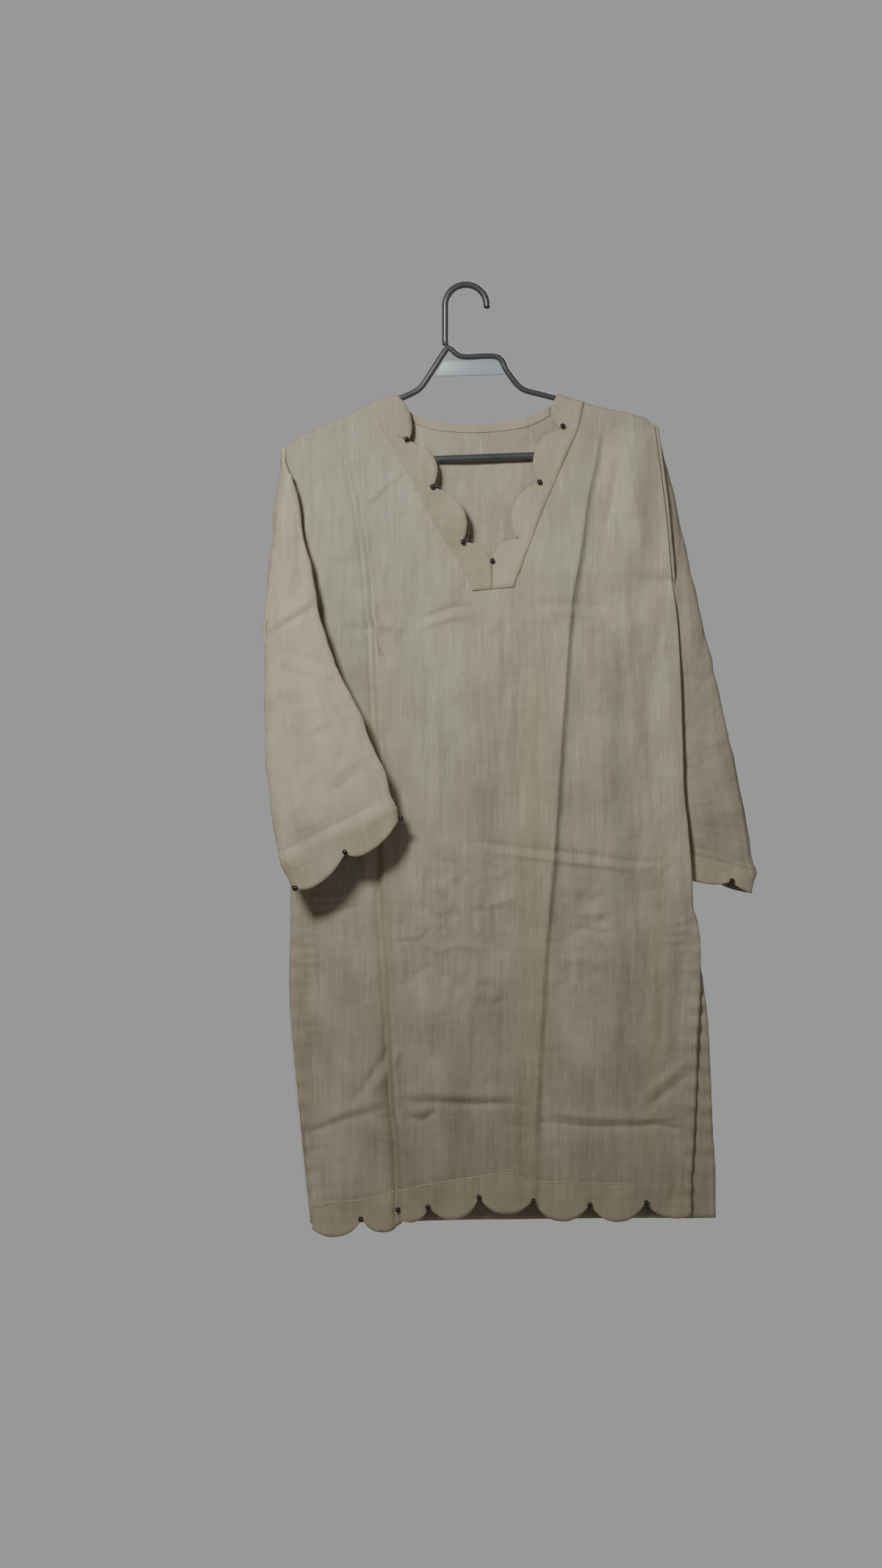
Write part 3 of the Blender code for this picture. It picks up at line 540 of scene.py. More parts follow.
shoulderRadius = hanging["armRadius"] + hanging["clearance"] + hanging["cadWall"] / 2
shell = {"wall": 0.8, "facingWall": 0.6, "lift": 0.9, "arcRows": 5, "scallopFullness": 2.4}


def shoulderDrop(x):
    # straight over the neck, and a smooth slope over each arm
    (leftX, leftDrop), (rightX, rightDrop) = hanging["neckEnds"]
    left = [row for row in hanging["shoulder"] if row[0] <= leftX]
    right = [row for row in hanging["shoulder"] if row[0] >= rightX]
    over = leftDrop + (rightDrop - leftDrop) * (x - leftX) / (rightX - leftX)
    sloped = np.where(x < 0, along(left, x, column=1, by=0), along(right, x, column=1, by=0))
    return np.where((x > leftX) & (x < rightX), over, sloped)


def sideEdge(side, drop):
    # x of the side seam, and below it of the front's free edge
    return along(hanging["sideEdge"][side], drop)


def armholeDepth(side, drop):
    # half the armhole's opening: an oval from the shoulder tip to the underarm
    top = hanging["sideEdge"][side][0][1]
    part = np.clip((drop - top) / (hanging["armholeBottom"][side] - top), 0.0, 1.0)
    oval = (2 * np.sqrt(part * (1 - part))) ** hanging["armholeOval"]
    return (hanging["armholeDepth"] - hanging["seamOffset"]) * oval


def panelDepth(x, drop, edges, bow):
    # how far a panel stands off the side seams' plane: round over the hanger's arm, then bowed
    down = np.maximum(drop - shoulderDrop(x), 0.0) * hanging["slope"]
    dip = np.minimum(down, shoulderRadius)
    squared = shoulderRadius**2 - (shoulderRadius - dip) ** 2
    overArm = np.sqrt(np.maximum(squared, hanging["shoulderEdge"] ** 2))
    full = overArm + (bow - shoulderRadius) * smoothStep((down - shoulderRadius) / hanging["bowDown"])
    (near, far), (start, length) = hanging["edgeReach"], hanging["blendDown"]
    reach = near + (far - near) * smoothStep((down - start) / length)
    depth = full
    for side, inHalf in (("left", x < hanging["middle"]), ("right", x >= hanging["middle"])):
        seam = hanging["seamOffset"] + armholeDepth(side, drop)
        blended = seam + (full - seam) * smoothStep(np.abs(edges[side](drop) - x) / reach)
        depth = np.where(inHalf, blended, depth)
    return depth


def overBar(x, drop, depth):
    # the cloth goes round the hanger's trouser bar where it would cut into it
    (leftX, leftDrop), (rightX, rightDrop) = hanging["bar"]
    below = drop - leftDrop - (rightDrop - leftDrop) * (x - leftX) / (rightX - leftX)
    rounded = np.sqrt(np.maximum(hanging["barReach"] ** 2 - below**2, 0.0))
    past = hanging["pastBar"]
    return np.where((x > leftX - past) & (x < rightX + past), np.maximum(depth, rounded), depth)


def insideShare(x, drop, edges):
    # 0 along the sewn edges and the shoulders, 1 well inside and along the free edges of the slits
    share = np.ones(np.shape(x))
    for side in ("left", "right"):
        free = smoothStep((drop - hanging["slitTop"][side] - 8) / 40)
        share = share * np.maximum(smoothStep(np.abs(edges[side](drop) - x) / hanging["still"]), free)
    return share * smoothStep((drop - shoulderDrop(x) - 6) / 40)


def offTheSlit(x, drop, edges, relief):
    # along a slit's free edge the cloth stands a little off the other panel, and its slow waves are quieter
    for side in ("left", "right"):
        near = (smoothStep((drop - hanging["slitTop"][side] - 10) / 50)
                * np.exp(-(((edges[side](drop) - x) / hanging["slitReach"]) ** 2)))
        relief = relief * (1 - 0.75 * near) + hanging["slitStand"] * near
    return relief


def scalloped(notches, side):
    # each scallop rises off its chord as 1 - |2t - 1| to the power of its fullness
    sign = 1 if side == "left" else -1
    points = [np.array(notches[0][:2], float)]
    for (x0, d0, _, _), (x1, d1, bulge, steps) in zip(notches, notches[1:]):
        start, end = np.array((x0, d0), float), np.array((x1, d1), float)
        chord = (end - start) / np.linalg.norm(end - start)
        outward = sign * np.array((chord[1], -chord[0]))
        part = np.arange(1, steps + 1)[:, None] / steps
        rise = bulge * (1 - np.abs(2 * part - 1) ** shell["scallopFullness"])
        points.extend(start + (end - start) * part + outward * rise)
    return np.array(points)


def arcDrops():
    # how far below the shoulder each row over the hanger's arm is
    turns = np.radians(np.linspace(0, 90, shell["arcRows"] + 1))
    return shoulderRadius * (1 - np.cos(turns)) / hanging["slope"]


# The front

front = {
    "bow": 17.0, "neckRows": 75, "footRows": 8, "bodyRows": 200, "hemRows": 9, "foot": 346.0, "easeRows": 40,
    "columns": {"left": (8, 30, 34), "right": (8, 20, 46)},
    "foldSharp": {"left": 4.2, "right": 2.8}, "foldSoft": 25.0, "foldHeight": {"left": 1.05, "right": 0.66},
    "foldFoot": {"left": 0.95, "right": 0.42}, "foldLip": 4.0, "foldShares": (0.68, 0.36, 0.14),
    # where the fold's foot lies before it and the hollow behind it, and how wide each is
    "footAt": (7.5, 4.0), "hollowAt": (48.0, 16.0),
    "bandWidth": 23.0, "creaseHeight": 2.3, "smallHeight": 1.5,
    # the neck's edge falls back by a share of its depth past what it keeps, within a reach of the notches
    "neckEase": 0.5, "neckKept": 6.0, "neckReach": 36.0,
    # drops that the rows crowd round, for the long creases across
    "crossCreases": (366.0, 645.0, 712.0, 942.0), "crowding": 1.1,
    # x and drop of each notch, bulge of the scallop before it, rows or columns in that scallop
    "neckEdge": {
        "left": ((-78.1, 123.0, 0, 0), (-68.0, 175.1, 8, 10), (-38.6, 230.0, 18, 25), (-3.6, 291.8, 19, 25),
                 (29.8, 313.4, 6, 15)),
        "right": ((104.2, 122.1, 0, 0), (110.0, 159.1, 7, 10), (83.6, 223.4, 18, 25), (58.6, 288.2, 17, 25),
                  (29.8, 313.4, 7, 15)),
    },
    "hemEdge": {
        "left": ((14.3, 1035.2, 0, 0), (-43.7, 1047.0, 20, 28), (-71.4, 1061.3, 8, 10),
                 (-118.8, 1061.3, 14, 17), (-175.6, 1074.7, 15, 17)),
        "right": ((14.3, 1035.2, 0, 0), (75.6, 1038.6, 18, 28), (140.3, 1044.5, 21, 16),
                  (204.1, 1042.8, 20, 15), (257.0, 1058.7, 10, 15)),
    },
    # x and drop of the facing's outer edge, carried on down to the hem
    "facingEdge": {
        "left": ((-108.8, 132.6), (-98.3, 158.3), (-89.0, 173.9), (-53.3, 239.7), (-29.8, 282.6),
                 (-6.2, 320.0), (6.7, 347.8), (-2.0, 600.0), (-29.0, 1060.0)),
        "right": ((134.4, 131.4), (128.1, 159.9), (116.3, 187.7), (100.0, 225.5), (85.7, 259.1),
                  (63.0, 320.0), (55.0, 343.6), (60.0, 600.0), (45.0, 1060.0)),
    },
    "foldLine": {
        "left": ((-136.1, 146.5), (-127.7, 209.5), (-120.5, 242.3), (-114.7, 277.5), (-107.5, 333.8),
                 (-102.9, 388.4), (-99.1, 477.5), (-94.9, 540.5), (-92.4, 686.6), (-86.5, 793.3),
                 (-79.0, 927.7), (-73.1, 982.3), (-71.4, 1061.3)),
        "right": ((157.1, 137.3), (146.2, 201.9), (136.9, 244.8), (130.2, 296.4), (119.3, 362.4),
                  (114.7, 414.5), (106.7, 532.9), (99.1, 643.8), (87.4, 780.7), (83.2, 863.9), (79.0, 946.2),
                  (75.6, 1038.6)),
    },
    # drop and height of each fold
    "foldRise": {
        "left": ((146, 0), (200, 3), (390, 6), (560, 3), (700, 4), (930, 7), (1060, 7)),
        "right": ((137, 0), (200, 4), (420, 6), (640, 7), (860, 6), (1040, 5)),
    },
    # drops at the level of the neck's point and of the facing's foot, down the facing's edge, fold and side
    "levels": {
        "left": ((320.0, 347.8), (350.0, 385.0), (380.0, 420.0)),
        "right": ((320.0, 343.6), (345.0, 375.0), (350.0, 395.0)),
    },
    "hemFacingTop": ((-181.4, 1048.7), (-156.2, 1042.8), (-114.2, 1036.9), (-71.4, 1025.1), (-11.8, 1014.2),
                     (17.6, 1010.0), (50.4, 1006.7), (75.6, 1016.0), (146.2, 1018.4), (217.6, 1020.9),
                     (259.6, 1021.8)),
    # spacing, height and reach of the puckers along each sewn line, with seeds for the hem's two rows
    "bandPuckers": (11.0, 0.75, 10.0), "slitPuckers": (23.0, 2.0, 14.0), "neckPuckers": (12.0, 0.55, 8.0),
    "hemPuckers": ((12.5, 0.8, 13.0, 41), (34.0, 1.0, 24.0, 42)),
    # seed, wavelength and height
    "ripples": ((21, 130.0, 1.5), (22, 48.0, 0.42), (23, 21.0, 0.15)),
    # seed, count, ranges of x, drop, length, height and width, then the heading in degrees and its spread
    "scattered": (
        (11, 170, (-200, 262), (190, 1010), (16, 62), (0.18, 0.62), (2.6, 5.2), 8, 34),
        (12, 70, (-200, 262), (200, 1010), (20, 80), (0.2, 0.7), (3.2, 6.5), 84, 22),
        (13, 46, (-82, 42), (655, 815), (14, 42), (0.6, 1.5), (3.0, 5.2), 0, 60),
        (14, 26, (104, 168), (690, 792), (14, 40), (0.6, 1.4), (3.0, 5.2), 0, 60),
    ),
    # height, width, lean to one side, then x and drop along each crease
    "creases": (
        (-2.2, 4.5, 0.2, (-140, 391), (-118, 392), (-101, 388)),
        (2.0, 4.0, 0.0, (-115, 343), (-108, 366), (-103, 388), (-95, 408)),
        (-1.9, 3.5, 0.0, (-103, 388), (-98, 410), (-87, 431)),
        (1.7, 3.5, 0.2, (-104, 387), (-90, 389), (-72, 396)),
        (-1.9, 3.5, -0.2, (-132, 371), (-116, 378), (-101, 389)),
        (1.8, 6.0, 0.3, (-115, 251), (-96, 230), (-73, 213)),
        (-1.3, 4.0, 0.0, (-54, 381), (-23, 369), (-3, 365), (14, 366)),
        (1.1, 5.0, 0.3, (-50, 390), (-20, 379), (8, 374)),
        (-1.4, 4.0, 0.1, (76, 362), (118, 364), (175, 369)),
        (1.2, 5.0, 0.3, (84, 371), (124, 374), (168, 380)),
        (-1.7, 4.2, 0.2, (5, 632), (52, 639), (99, 644), (139, 649), (193, 656), (228, 656)),
        (1.3, 5.5, 0.4, (30, 644), (99, 653), (150, 659), (205, 666)),
        (-1.4, 4.0, 0.0, (-200, 719), (-160, 712), (-115, 705)),
        (1.2, 5.0, 0.3, (-198, 698), (-160, 696), (-121, 692)),
        (-1.8, 4.2, 0.2, (-192, 971), (-136, 949), (-89, 935)),
        (1.3, 5.5, 0.3, (-180, 958), (-134, 938), (-96, 926)),
        (-1.8, 4.2, 0.2, (-79, 928), (6, 931), (53, 930), (79, 935)),
        (1.3, 5.5, 0.3, (-70, 918), (0, 921), (60, 921)),
        (-1.8, 4.2, 0.2, (79, 951), (139, 956), (218, 956), (262, 963)),
        (1.3, 5.5, 0.3, (90, 941), (150, 946), (240, 948)),
        (-1.9, 5.0, 0.3, (-81, 855), (-104, 893), (-130, 930)),
        (1.5, 6.0, 0.3, (-70, 860), (-92, 894), (-118, 928)),
        (-1.5, 4.5, 0.0, (-79, 929), (-66, 944), (-50, 950), (-34, 939)),
        (1.2, 4.5, 0.2, (-60, 935), (-50, 941), (-36, 930)),
        (-1.7, 5.0, 0.2, (266, 889), (236, 912), (207, 935)),
        (1.4, 6.0, 0.2, (262, 876), (230, 900), (198, 926)),
        (-1.0, 3.5, 0.0, (-8, 314), (10, 313), (29, 309)),
        (-1.1, 3.0, 0.0, (30, 316), (31, 330), (33, 346)),
        (1.0, 6.0, 0.0, (33, 352), (36, 420), (34, 500)),
        (1.3, 8.0, 0.2, (-30, 420), (-34, 520), (-40, 620)),
        (-1.1, 7.0, 0.2, (60, 430), (58, 540), (62, 620)),
        (1.2, 9.0, 0.2, (180, 330), (186, 450), (188, 560)),
        (-1.2, 8.0, 0.2, (205, 420), (208, 520), (214, 610)),
        (1.2, 7.0, 0.0, (-165, 300), (-160, 360), (-158, 450)),
        (-1.1, 7.0, 0.1, (-176, 500), (-170, 580), (-172, 660)),
        (1.2, 7.0, 0.2, (-40, 680), (-8, 700), (14, 740)),
        (-1.3, 5.0, 0.2, (-60, 700), (-30, 722), (-14, 760)),
        (1.2, 5.0, 0.0, (-34, 760), (-10, 748), (24, 756)),
        (-1.2, 5.0, 0.2, (-68, 790), (-40, 775), (-18, 790)),
        (1.1, 5.0, 0.2, (6, 690), (24, 710), (30, 742)),
        (-1.0, 4.0, 0.0, (-20, 800), (10, 790), (38, 802)),
        (1.2, 5.0, 0.1, (110, 700), (136, 716), (160, 712)),
        (-1.2, 5.0, 0.1, (112, 742), (134, 730), (164, 744)),
        (1.0, 5.0, 0.1, (118, 770), (140, 760), (166, 776)),
        (1.6, 10.0, 0.2, (10, 770), (4, 840), (0, 910)),
        (-1.4, 9.0, 0.2, (40, 800), (42, 860), (40, 915)),
        (1.5, 10.0, 0.2, (170, 690), (172, 790), (166, 930)),
        (-1.5, 9.0, 0.2, (206, 730), (204, 820), (196, 930)),
        (1.3, 9.0, 0.2, (232, 760), (230, 830), (222, 900)),
        (1.4, 9.0, 0.2, (-150, 740), (-152, 840), (-146, 930)),
        (-1.4, 8.0, 0.2, (-176, 770), (-174, 850), (-166, 930)),
        (1.6, 9.0, 0.0, (-20, 945), (-22, 990), (-24, 1030)),
        (-1.5, 8.0, 0.0, (30, 940), (34, 985), (40, 1020)),
        (1.6, 9.0, 0.1, (130, 965), (134, 1000), (138, 1040)),
        (-1.5, 8.0, 0.1, (172, 965), (176, 1000), (180, 1030)),
        (1.5, 8.0, 0.1, (222, 970), (224, 1005), (228, 1040)),
        (-1.4, 8.0, 0.1, (-104, 960), (-102, 1000), (-98, 1040)),
        (1.5, 8.0, 0.1, (-138, 965), (-134, 1005), (-130, 1045)),
        (1.6, 7.0, 0.2, (-190, 210), (-180, 250), (-186, 320)),
        (-1.4, 6.0, 0.1, (-160, 205), (-150, 240), (-138, 290)),
        (1.4, 7.0, 0.1, (196, 200), (190, 240), (200, 300)),
        (-1.3, 6.0, 0.1, (176, 190), (168, 230), (160, 280)),
    ),
}


frontEdges = {side: (lambda drop, side=side: sideEdge(side, drop)) for side in ("left", "right")}


def foldRelief(x, drop):
    # each long fold: a crisp lip on a rise that is steep outwards, with a foot pressed in before it, and an
    # easy slope with a slight hollow towards the middle
    total = np.zeros(np.shape(x))
    ridgeShare, lipShare, hollowShare = front["foldShares"]
    for side, outward in (("left", -1), ("right", 1)):
        away = outward * (x - along(front["foldLine"][side], drop))
        rise = along(front["foldRise"][side], drop, column=1, by=0) * front["foldHeight"][side]
        sharp = front["foldSharp"][side]
        ridge = np.exp(-((np.abs(away) / np.where(away > 0, sharp, front["foldSoft"])) ** 1.6))
        lip = np.exp(-((np.abs(away) / np.where(away > 0, sharp, front["foldLip"])) ** 1.3))
        foot = np.exp(-(((away - front["footAt"][0]) / front["footAt"][1]) ** 2))
        hollow = np.exp(-(((away + front["hollowAt"][0]) / front["hollowAt"][1]) ** 2))
        total += rise * (ridgeShare * ridge + lipShare * lip - front["foldFoot"][side] * foot
                         - hollowShare * hollow)
    return total


def slitLine(side, inset, bottom):
    # the line at an inset from a slit's edge, from the slit's top down
    drops = np.linspace(hanging["slitTop"][side] - 4, bottom, 40)
    sign = 1 if side == "left" else -1
    return np.stack([sideEdge(side, drops) + sign * inset, drops], axis=1)


def allScattered(rows):
    # the creases of several such ranges, in one list
    return [crease for row in rows for crease in scatteredCreases(*row)]


frontSmall = allScattered(front["scattered"])


def frontRelief(x, drop):
    # folds and creases, quiet at the seams, then the slits' turned bands, the hem's facing and the neck's
    relief = foldRelief(x, drop) + front["creaseHeight"] * creaseRelief(x, drop, front["creases"])
    relief += front["smallHeight"] * creaseRelief(x, drop, frontSmall)
    relief += ripples(x, drop, front["ripples"])
    relief = offTheSlit(x, drop, frontEdges, relief * insideShare(x, drop, frontEdges))
    width = front["bandWidth"]
    for side, bottom, seed in (("left", 1056, 31), ("right", 1044, 32)):
        below = smoothStep((drop - hanging["slitTop"][side]) / 20)
        edge = np.abs(sideEdge(side, drop) - x)
        band = smoothStep((width + 1.2 - edge) / 2.4)
        dent = np.exp(-(((edge - width) / 1.9) ** 2))
        relief += below * (0.55 * band - 0.8 * dent)
        relief += below * puckers(x, drop, slitLine(side, width, bottom), *front["bandPuckers"], seed)
        relief += below * puckers(x, drop, slitLine(side, 0.0, bottom), *front["slitPuckers"], seed + 5)
    hemTop = front["hemFacingTop"]
    relief += sum(puckers(x, drop, hemTop, *row) for row in front["hemPuckers"])
    relief -= 0.7 * np.exp(-(((drop - along(hemTop, x, column=1, by=0)) / 2.0) ** 2))
    for side, seed in (("left", 51), ("right", 52)):
        edge = [row for row in front["facingEdge"][side] if row[1] < 350]
        near = puckers(x, drop, edge, *front["neckPuckers"], seed)
        relief += near * smoothStep((drop - shoulderDrop(x) - 8) / 20)
    return relief


def neckShare(x, drop):
    # 1 inside the line of the neck's notches, easing to 0 at the reach outside it, and 0 near the shoulders
    left, right = (np.array(front["neckEdge"][side], float)[:, :2] for side in ("left", "right"))
    _, away, _ = nearestOn(np.concatenate([left, right[-2::-1]]), x, drop)
    inside = ((x > np.interp(drop, left[:, 1], left[:, 0])) & (x < np.interp(drop, right[:, 1], right[:, 0]))
              & (drop < left[-1, 1]))
    near = smoothStep(1 - np.where(inside, 0.0, np.abs(away)) / front["neckReach"])
    return near * smoothStep((drop - 150) / 60)


def frontDepth(x, drop):
    # the panel's bow and its relief; the neck's edge falls back towards the hanger's bar
    depth = panelDepth(x, drop, frontEdges, front["bow"])
    depth = depth - front["neckEase"] * neckShare(x, drop) * np.maximum(depth - front["neckKept"], 0.0)
    return overBar(x, drop, np.maximum(depth + frontRelief(x, drop), 0.3))


def bodyShares():
    # how far from the neck facing's foot to the hem each row is, closer together at the cross creases
    even = np.linspace(0, 1, 500)
    drops = front["foot"] + even * (front["hemFacingTop"][5][1] - front["foot"])
    crowd = 1 + front["crowding"] * sum(np.exp(-(((drops - at) / 20) ** 2)) for at in front["crossCreases"])
    run = np.concatenate([[0], np.cumsum((crowd[1:] + crowd[:-1]) / 2)])
    return np.interp(np.linspace(0, run[-1], front["bodyRows"] + 1), run, even)[1:]


def frontHalf(side):
    # x and drop over half the front: guide lines down the neck and middle, the facing's edge, the fold and
    # the side, with columns between them that drift over to the hem's scallops on the way down
    neck, hem = scalloped(front["neckEdge"][side], side), scalloped(front["hemEdge"][side], side)
    arc = arcDrops()
    hemTop = along(front["hemFacingTop"], hem[:, 0], column=1, by=0)
    chest, counts = neck[-1][1], front["columns"][side]
    edges = np.concatenate([[0], np.cumsum(counts)])
    first = neck[0] + (neck[1] - neck[0]) * (arc[:, None] / np.linalg.norm(neck[1] - neck[0]))
    neckPart = np.linspace(0, 1, len(neck))[1:, None]
    # the neck's rows start below the rows over the arm
    eased = neck[1:] + (first[-1] - neck[0]) * (1 - neckPart) ** 3
    shares = bodyShares()
    below = stations((chest, front["foot"]), (front["footRows"],))[1:]
    below = np.concatenate([below, front["foot"] + (hemTop[0] - front["foot"]) * shares])
    spread = (below - chest) / (hemTop[0] - chest)
    middle = np.stack([neck[-1][0] + (hem[0][0] - neck[-1][0]) * spread, below], axis=1)
    guides = [np.concatenate([first, eased, middle])]
    rowCounts = (front["neckRows"], front["footRows"])
    for key, levels, column in zip(("facingEdge", "foldLine", "side"), front["levels"][side], edges[1:]):
        table = hanging["sideEdge"][side] if key == "side" else front[key][side]
        top = table[0][1]
        drops = np.concatenate([top + arc, stations((top + arc[-1],) + levels, rowCounts)[1:],
                                levels[1] + (hemTop[column] - levels[1]) * shares])
        guides.append(np.stack([along(table, drops), drops], axis=1))
    columns = []
    for number, (inner, outer) in enumerate(zip(guides, guides[1:])):
        part = np.arange(counts[number]) / counts[number]
        if number > 0:
            part = 0.35 * part + 0.65 * smoothStep(part)   # closer together at the fold
        columns.append(inner[:, None] + (outer - inner)[:, None] * part[None, :, None])
    grid = np.concatenate(columns + [guides[-1][:, None]], axis=1)
    rows = np.arange(len(grid))[:, None]
    sag = shoulderDrop(grid[0, :, 0]) - grid[0, :, 1]
    ease = np.maximum(0.0, 1 - (rows - shell["arcRows"]) / front["easeRows"])
    overArm = shoulderDrop(grid[:, :, 0]) + arc[np.minimum(rows, shell["arcRows"])]
    grid[:, :, 1] = np.where(rows <= shell["arcRows"], overArm, grid[:, :, 1] + sag * ease)
    target = np.stack([hem[:, 0], hemTop], axis=1)
    firstBody = len(grid) - 1 - front["bodyRows"]
    drift = np.clip((rows - firstBody) / front["bodyRows"], 0, 1) ** 2
    grid += (target - grid[-1])[None] * drift[:, :, None]
    part = np.arange(1, front["hemRows"] + 1)[:, None, None] / front["hemRows"]
    return np.concatenate([grid, target + (hem - target) * part])


def standing(grid, depth, forward):
    # a grid of x and drop stood up, forward -1 for the front and 1 for the back
    return np.stack([grid[..., 0], forward * depth(grid[..., 0], grid[..., 1]), -grid[..., 1]], axis=2)


def buildFront():
    halves = {side: frontHalf(side) for side in ("left", "right")}
    stood = {side: standing(grid, frontDepth, -1) for side, grid in halves.items()}
    grids = [(stood[side], halves[side], side == "right") for side in stood]
    piece = gridMesh("front", grids, looks["tunic cloth"], shell["wall"])
    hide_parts("front_panel")
    return piece, halves, stood


frontPiece, frontHalves, frontStood = buildFront()
print("front:", len(frontPiece.data.polygons), "faces")


# The back

back = {
    "bow": 10.0, "columns": (30, 64, 34), "facingRows": 4, "bodyRows": 205, "facingWidth": 10.0,
    "growth": 1.15,   # the rows grow apart down the back
    "neck": ((-78.1, 123.0), (-65.5, 140.6), (-36.1, 151.5), (6.7, 154.9), (58.8, 150.3), (97.0, 133.8),
             (104.2, 122.1)),
    "edge": {
        "left": ((-200.8, 695.9), (-200.8, 796.7), (-195.5, 887.4), (-188.0, 970.5), (-178.0, 1069.7)),
        "right": ((259.6, 705.1), (271.3, 793.3), (277.2, 840.3), (279.7, 892.4), (282.2, 958.8),
                  (285.6, 1017.6), (285.6, 1063.0)),
    },
    "hemDrop": {"left": 1069.7, "right": 1063.0},
    "facingEnds": (6.5, 7.5),
    "hemPuckers": (12.0, 0.5, 10.0), "slitPuckers": (24.0, 3.0, 17.0),
    "ripples": ((71, 140.0, 1.5), (72, 50.0, 0.45), (73, 22.0, 0.16)),
    "scattered": (
        (61, 190, (-196, 270), (200, 1040), (16, 66), (0.2, 0.7), (2.8, 5.4), 6, 36),
        (62, 70, (-196, 270), (220, 1040), (20, 80), (0.25, 0.75), (3.4, 6.6), 86, 22),
    ),
    "creases": (
        (1.6, 8.0, 0.2, (-90, 200), (-96, 330), (-92, 470)),
        (-1.5, 7.0, 0.1, (-60, 210), (-58, 300), (-52, 400)),
        (1.5, 8.0, 0.2, (130, 190), (126, 320), (132, 460)),
        (-1.4, 7.0, 0.1, (160, 220), (158, 320), (166, 430)),
        (1.7, 6.0, 0.3, (-150, 372), (-60, 362), (40, 368)),
        (-1.6, 4.5, 0.2, (20, 384), (110, 378), (200, 386)),
        (-1.7, 4.5, 0.2, (-180, 640), (-80, 650), (20, 644), (120, 652)),
        (1.4, 6.0, 0.3, (40, 664), (140, 660), (236, 670)),
        (-1.7, 4.5, 0.2, (-180, 934), (-70, 926), (30, 932)),
        (1.6, 6.0, 0.2, (10, 946), (120, 940), (262, 950)),
        (1.6, 9.0, 0.2, (-20, 480), (-24, 620), (-20, 760)),
        (-1.5, 8.0, 0.1, (90, 500), (94, 620), (90, 740)),
        (1.5, 9.0, 0.1, (-110, 700), (-114, 830), (-108, 940)),
        (1.6, 9.0, 0.2, (30, 720), (34, 850), (30, 1000)),
        (-1.5, 9.0, 0.1, (160, 760), (164, 880), (160, 1010)),
        (1.5, 8.0, 0.1, (220, 800), (226, 900), (230, 1010)),
        (-1.4, 8.0, 0.2, (-150, 800), (-146, 900), (-140, 1010)),
        (-1.2, 5.0, 0.2, (-40, 560), (-10, 574), (26, 566)),
        (1.2, 5.0, 0.2, (70, 580), (104, 570), (140, 584)),
    ),
}
backSmall = allScattered(back["scattered"])


def backEdge(side, drop):
    # the side seam down to the slit, then the back's own free edge
    return np.where(drop < hanging["slitTop"][side], sideEdge(side, drop), along(back["edge"][side], drop))


backEdges = {side: (lambda drop, side=side: backEdge(side, drop)) for side in ("left", "right")}


def backRelief(x, drop):
    # creases, quiet at the seams, and puckers at the hem and along the free edges
    relief = creaseRelief(x, drop, back["creases"]) + creaseRelief(x, drop, backSmall)
    relief += ripples(x, drop, back["ripples"])
    relief = offTheSlit(x, drop, backEdges, relief * insideShare(x, drop, backEdges))
    ends = ((back["edge"]["left"][-1][0], "left"), (260.0, "right"))
    hem = [(x1, back["hemDrop"][side] - 14) for x1, side in ends]
    relief += puckers(x, drop, hem, *back["hemPuckers"], 74)
    for side, seed in (("left", 75), ("right", 76)):
        free = smoothStep((drop - hanging["slitTop"][side] - 20) / 50)
        relief += free * puckers(x, drop, back["edge"][side], *back["slitPuckers"], seed)
    # nothing rises at the neck, where the facing lies inside
    return relief * smoothStep((drop - along(back["neck"], x, column=1, by=0) - 14) / 30)


def backDepth(x, drop):
    # the panel's bow and its relief
    depth = panelDepth(x, drop, backEdges, back["bow"]) + backRelief(x, drop)
    return overBar(x, drop, np.maximum(depth, 0.3))


def backGrid():
    # rows from the shoulders and the neck's curve down to the hem, columns spread between the side edges
    (left, _), (right, _) = back["neck"][0], back["neck"][-1]
    shoulder = hanging["shoulder"]
    counts = back["columns"]
    turns = (1 - np.cos(np.pi * np.arange(counts[1]) / counts[1])) / 2
    top = np.concatenate([
        np.linspace(shoulder[0][0], left, counts[0], endpoint=False), left + (right - left) * turns,
        np.linspace(right, shoulder[-1][0], counts[2] + 1),
    ])
    inNeck = (top > left) & (top < right)
    share = np.linspace(0, 1, len(top))
    ends = np.array([(back["edge"][side][-1][0], back["hemDrop"][side]) for side in ("left", "right")])
    bottom = ends[0] + (ends[1] - ends[0]) * share[:, None]
    start = np.where(inNeck, along(back["neck"], top, column=1, by=0), shoulderDrop(top))
    arc = arcDrops()
    downs = np.concatenate([arc, np.linspace(arc[-1], back["facingWidth"], back["facingRows"] + 1)[1:]])
    rows = np.stack([np.broadcast_to(top, (len(downs), len(top))), start + downs[:, None]], axis=2)
    part = ((np.arange(1, back["bodyRows"] + 1) / back["bodyRows"]) ** back["growth"])[:, None, None]
    grid = np.concatenate([rows, rows[-1] + (bottom - rows[-1]) * part])
    low, high = grid[:, :1, 0], grid[:, -1:, 0]
    leftEdge, rightEdge = backEdge("left", grid[:, :1, 1]), backEdge("right", grid[:, -1:, 1])
    grid[:, :, 0] = leftEdge + (grid[:, :, 0] - low) * (rightEdge - leftEdge) / (high - low)
    return grid, top


def buildBack():
    grid, top = backGrid()
    stood = standing(grid, backDepth, 1)
    piece = gridMesh("back", [(stood, grid, False)], looks["tunic cloth"], shell["wall"])
    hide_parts("back_panel")
    # the facing lies inside the neck, between the hanger's arms
    rows = shell["arcRows"] + back["facingRows"] + 1
    ends = back["facingEnds"]
    chosen = (top > back["neck"][0][0] + ends[0]) & (top < back["neck"][-1][0] - ends[1])
    inside = stood[:rows, chosen] - gridNormals(stood)[:rows, chosen] * shell["lift"]
    facing = gridMesh("backNeckFacing", [(inside, grid[:rows, chosen], False)], looks["facing cloth"],
                      shell["facingWall"])
    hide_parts("back_neck_facing")
    return piece, facing


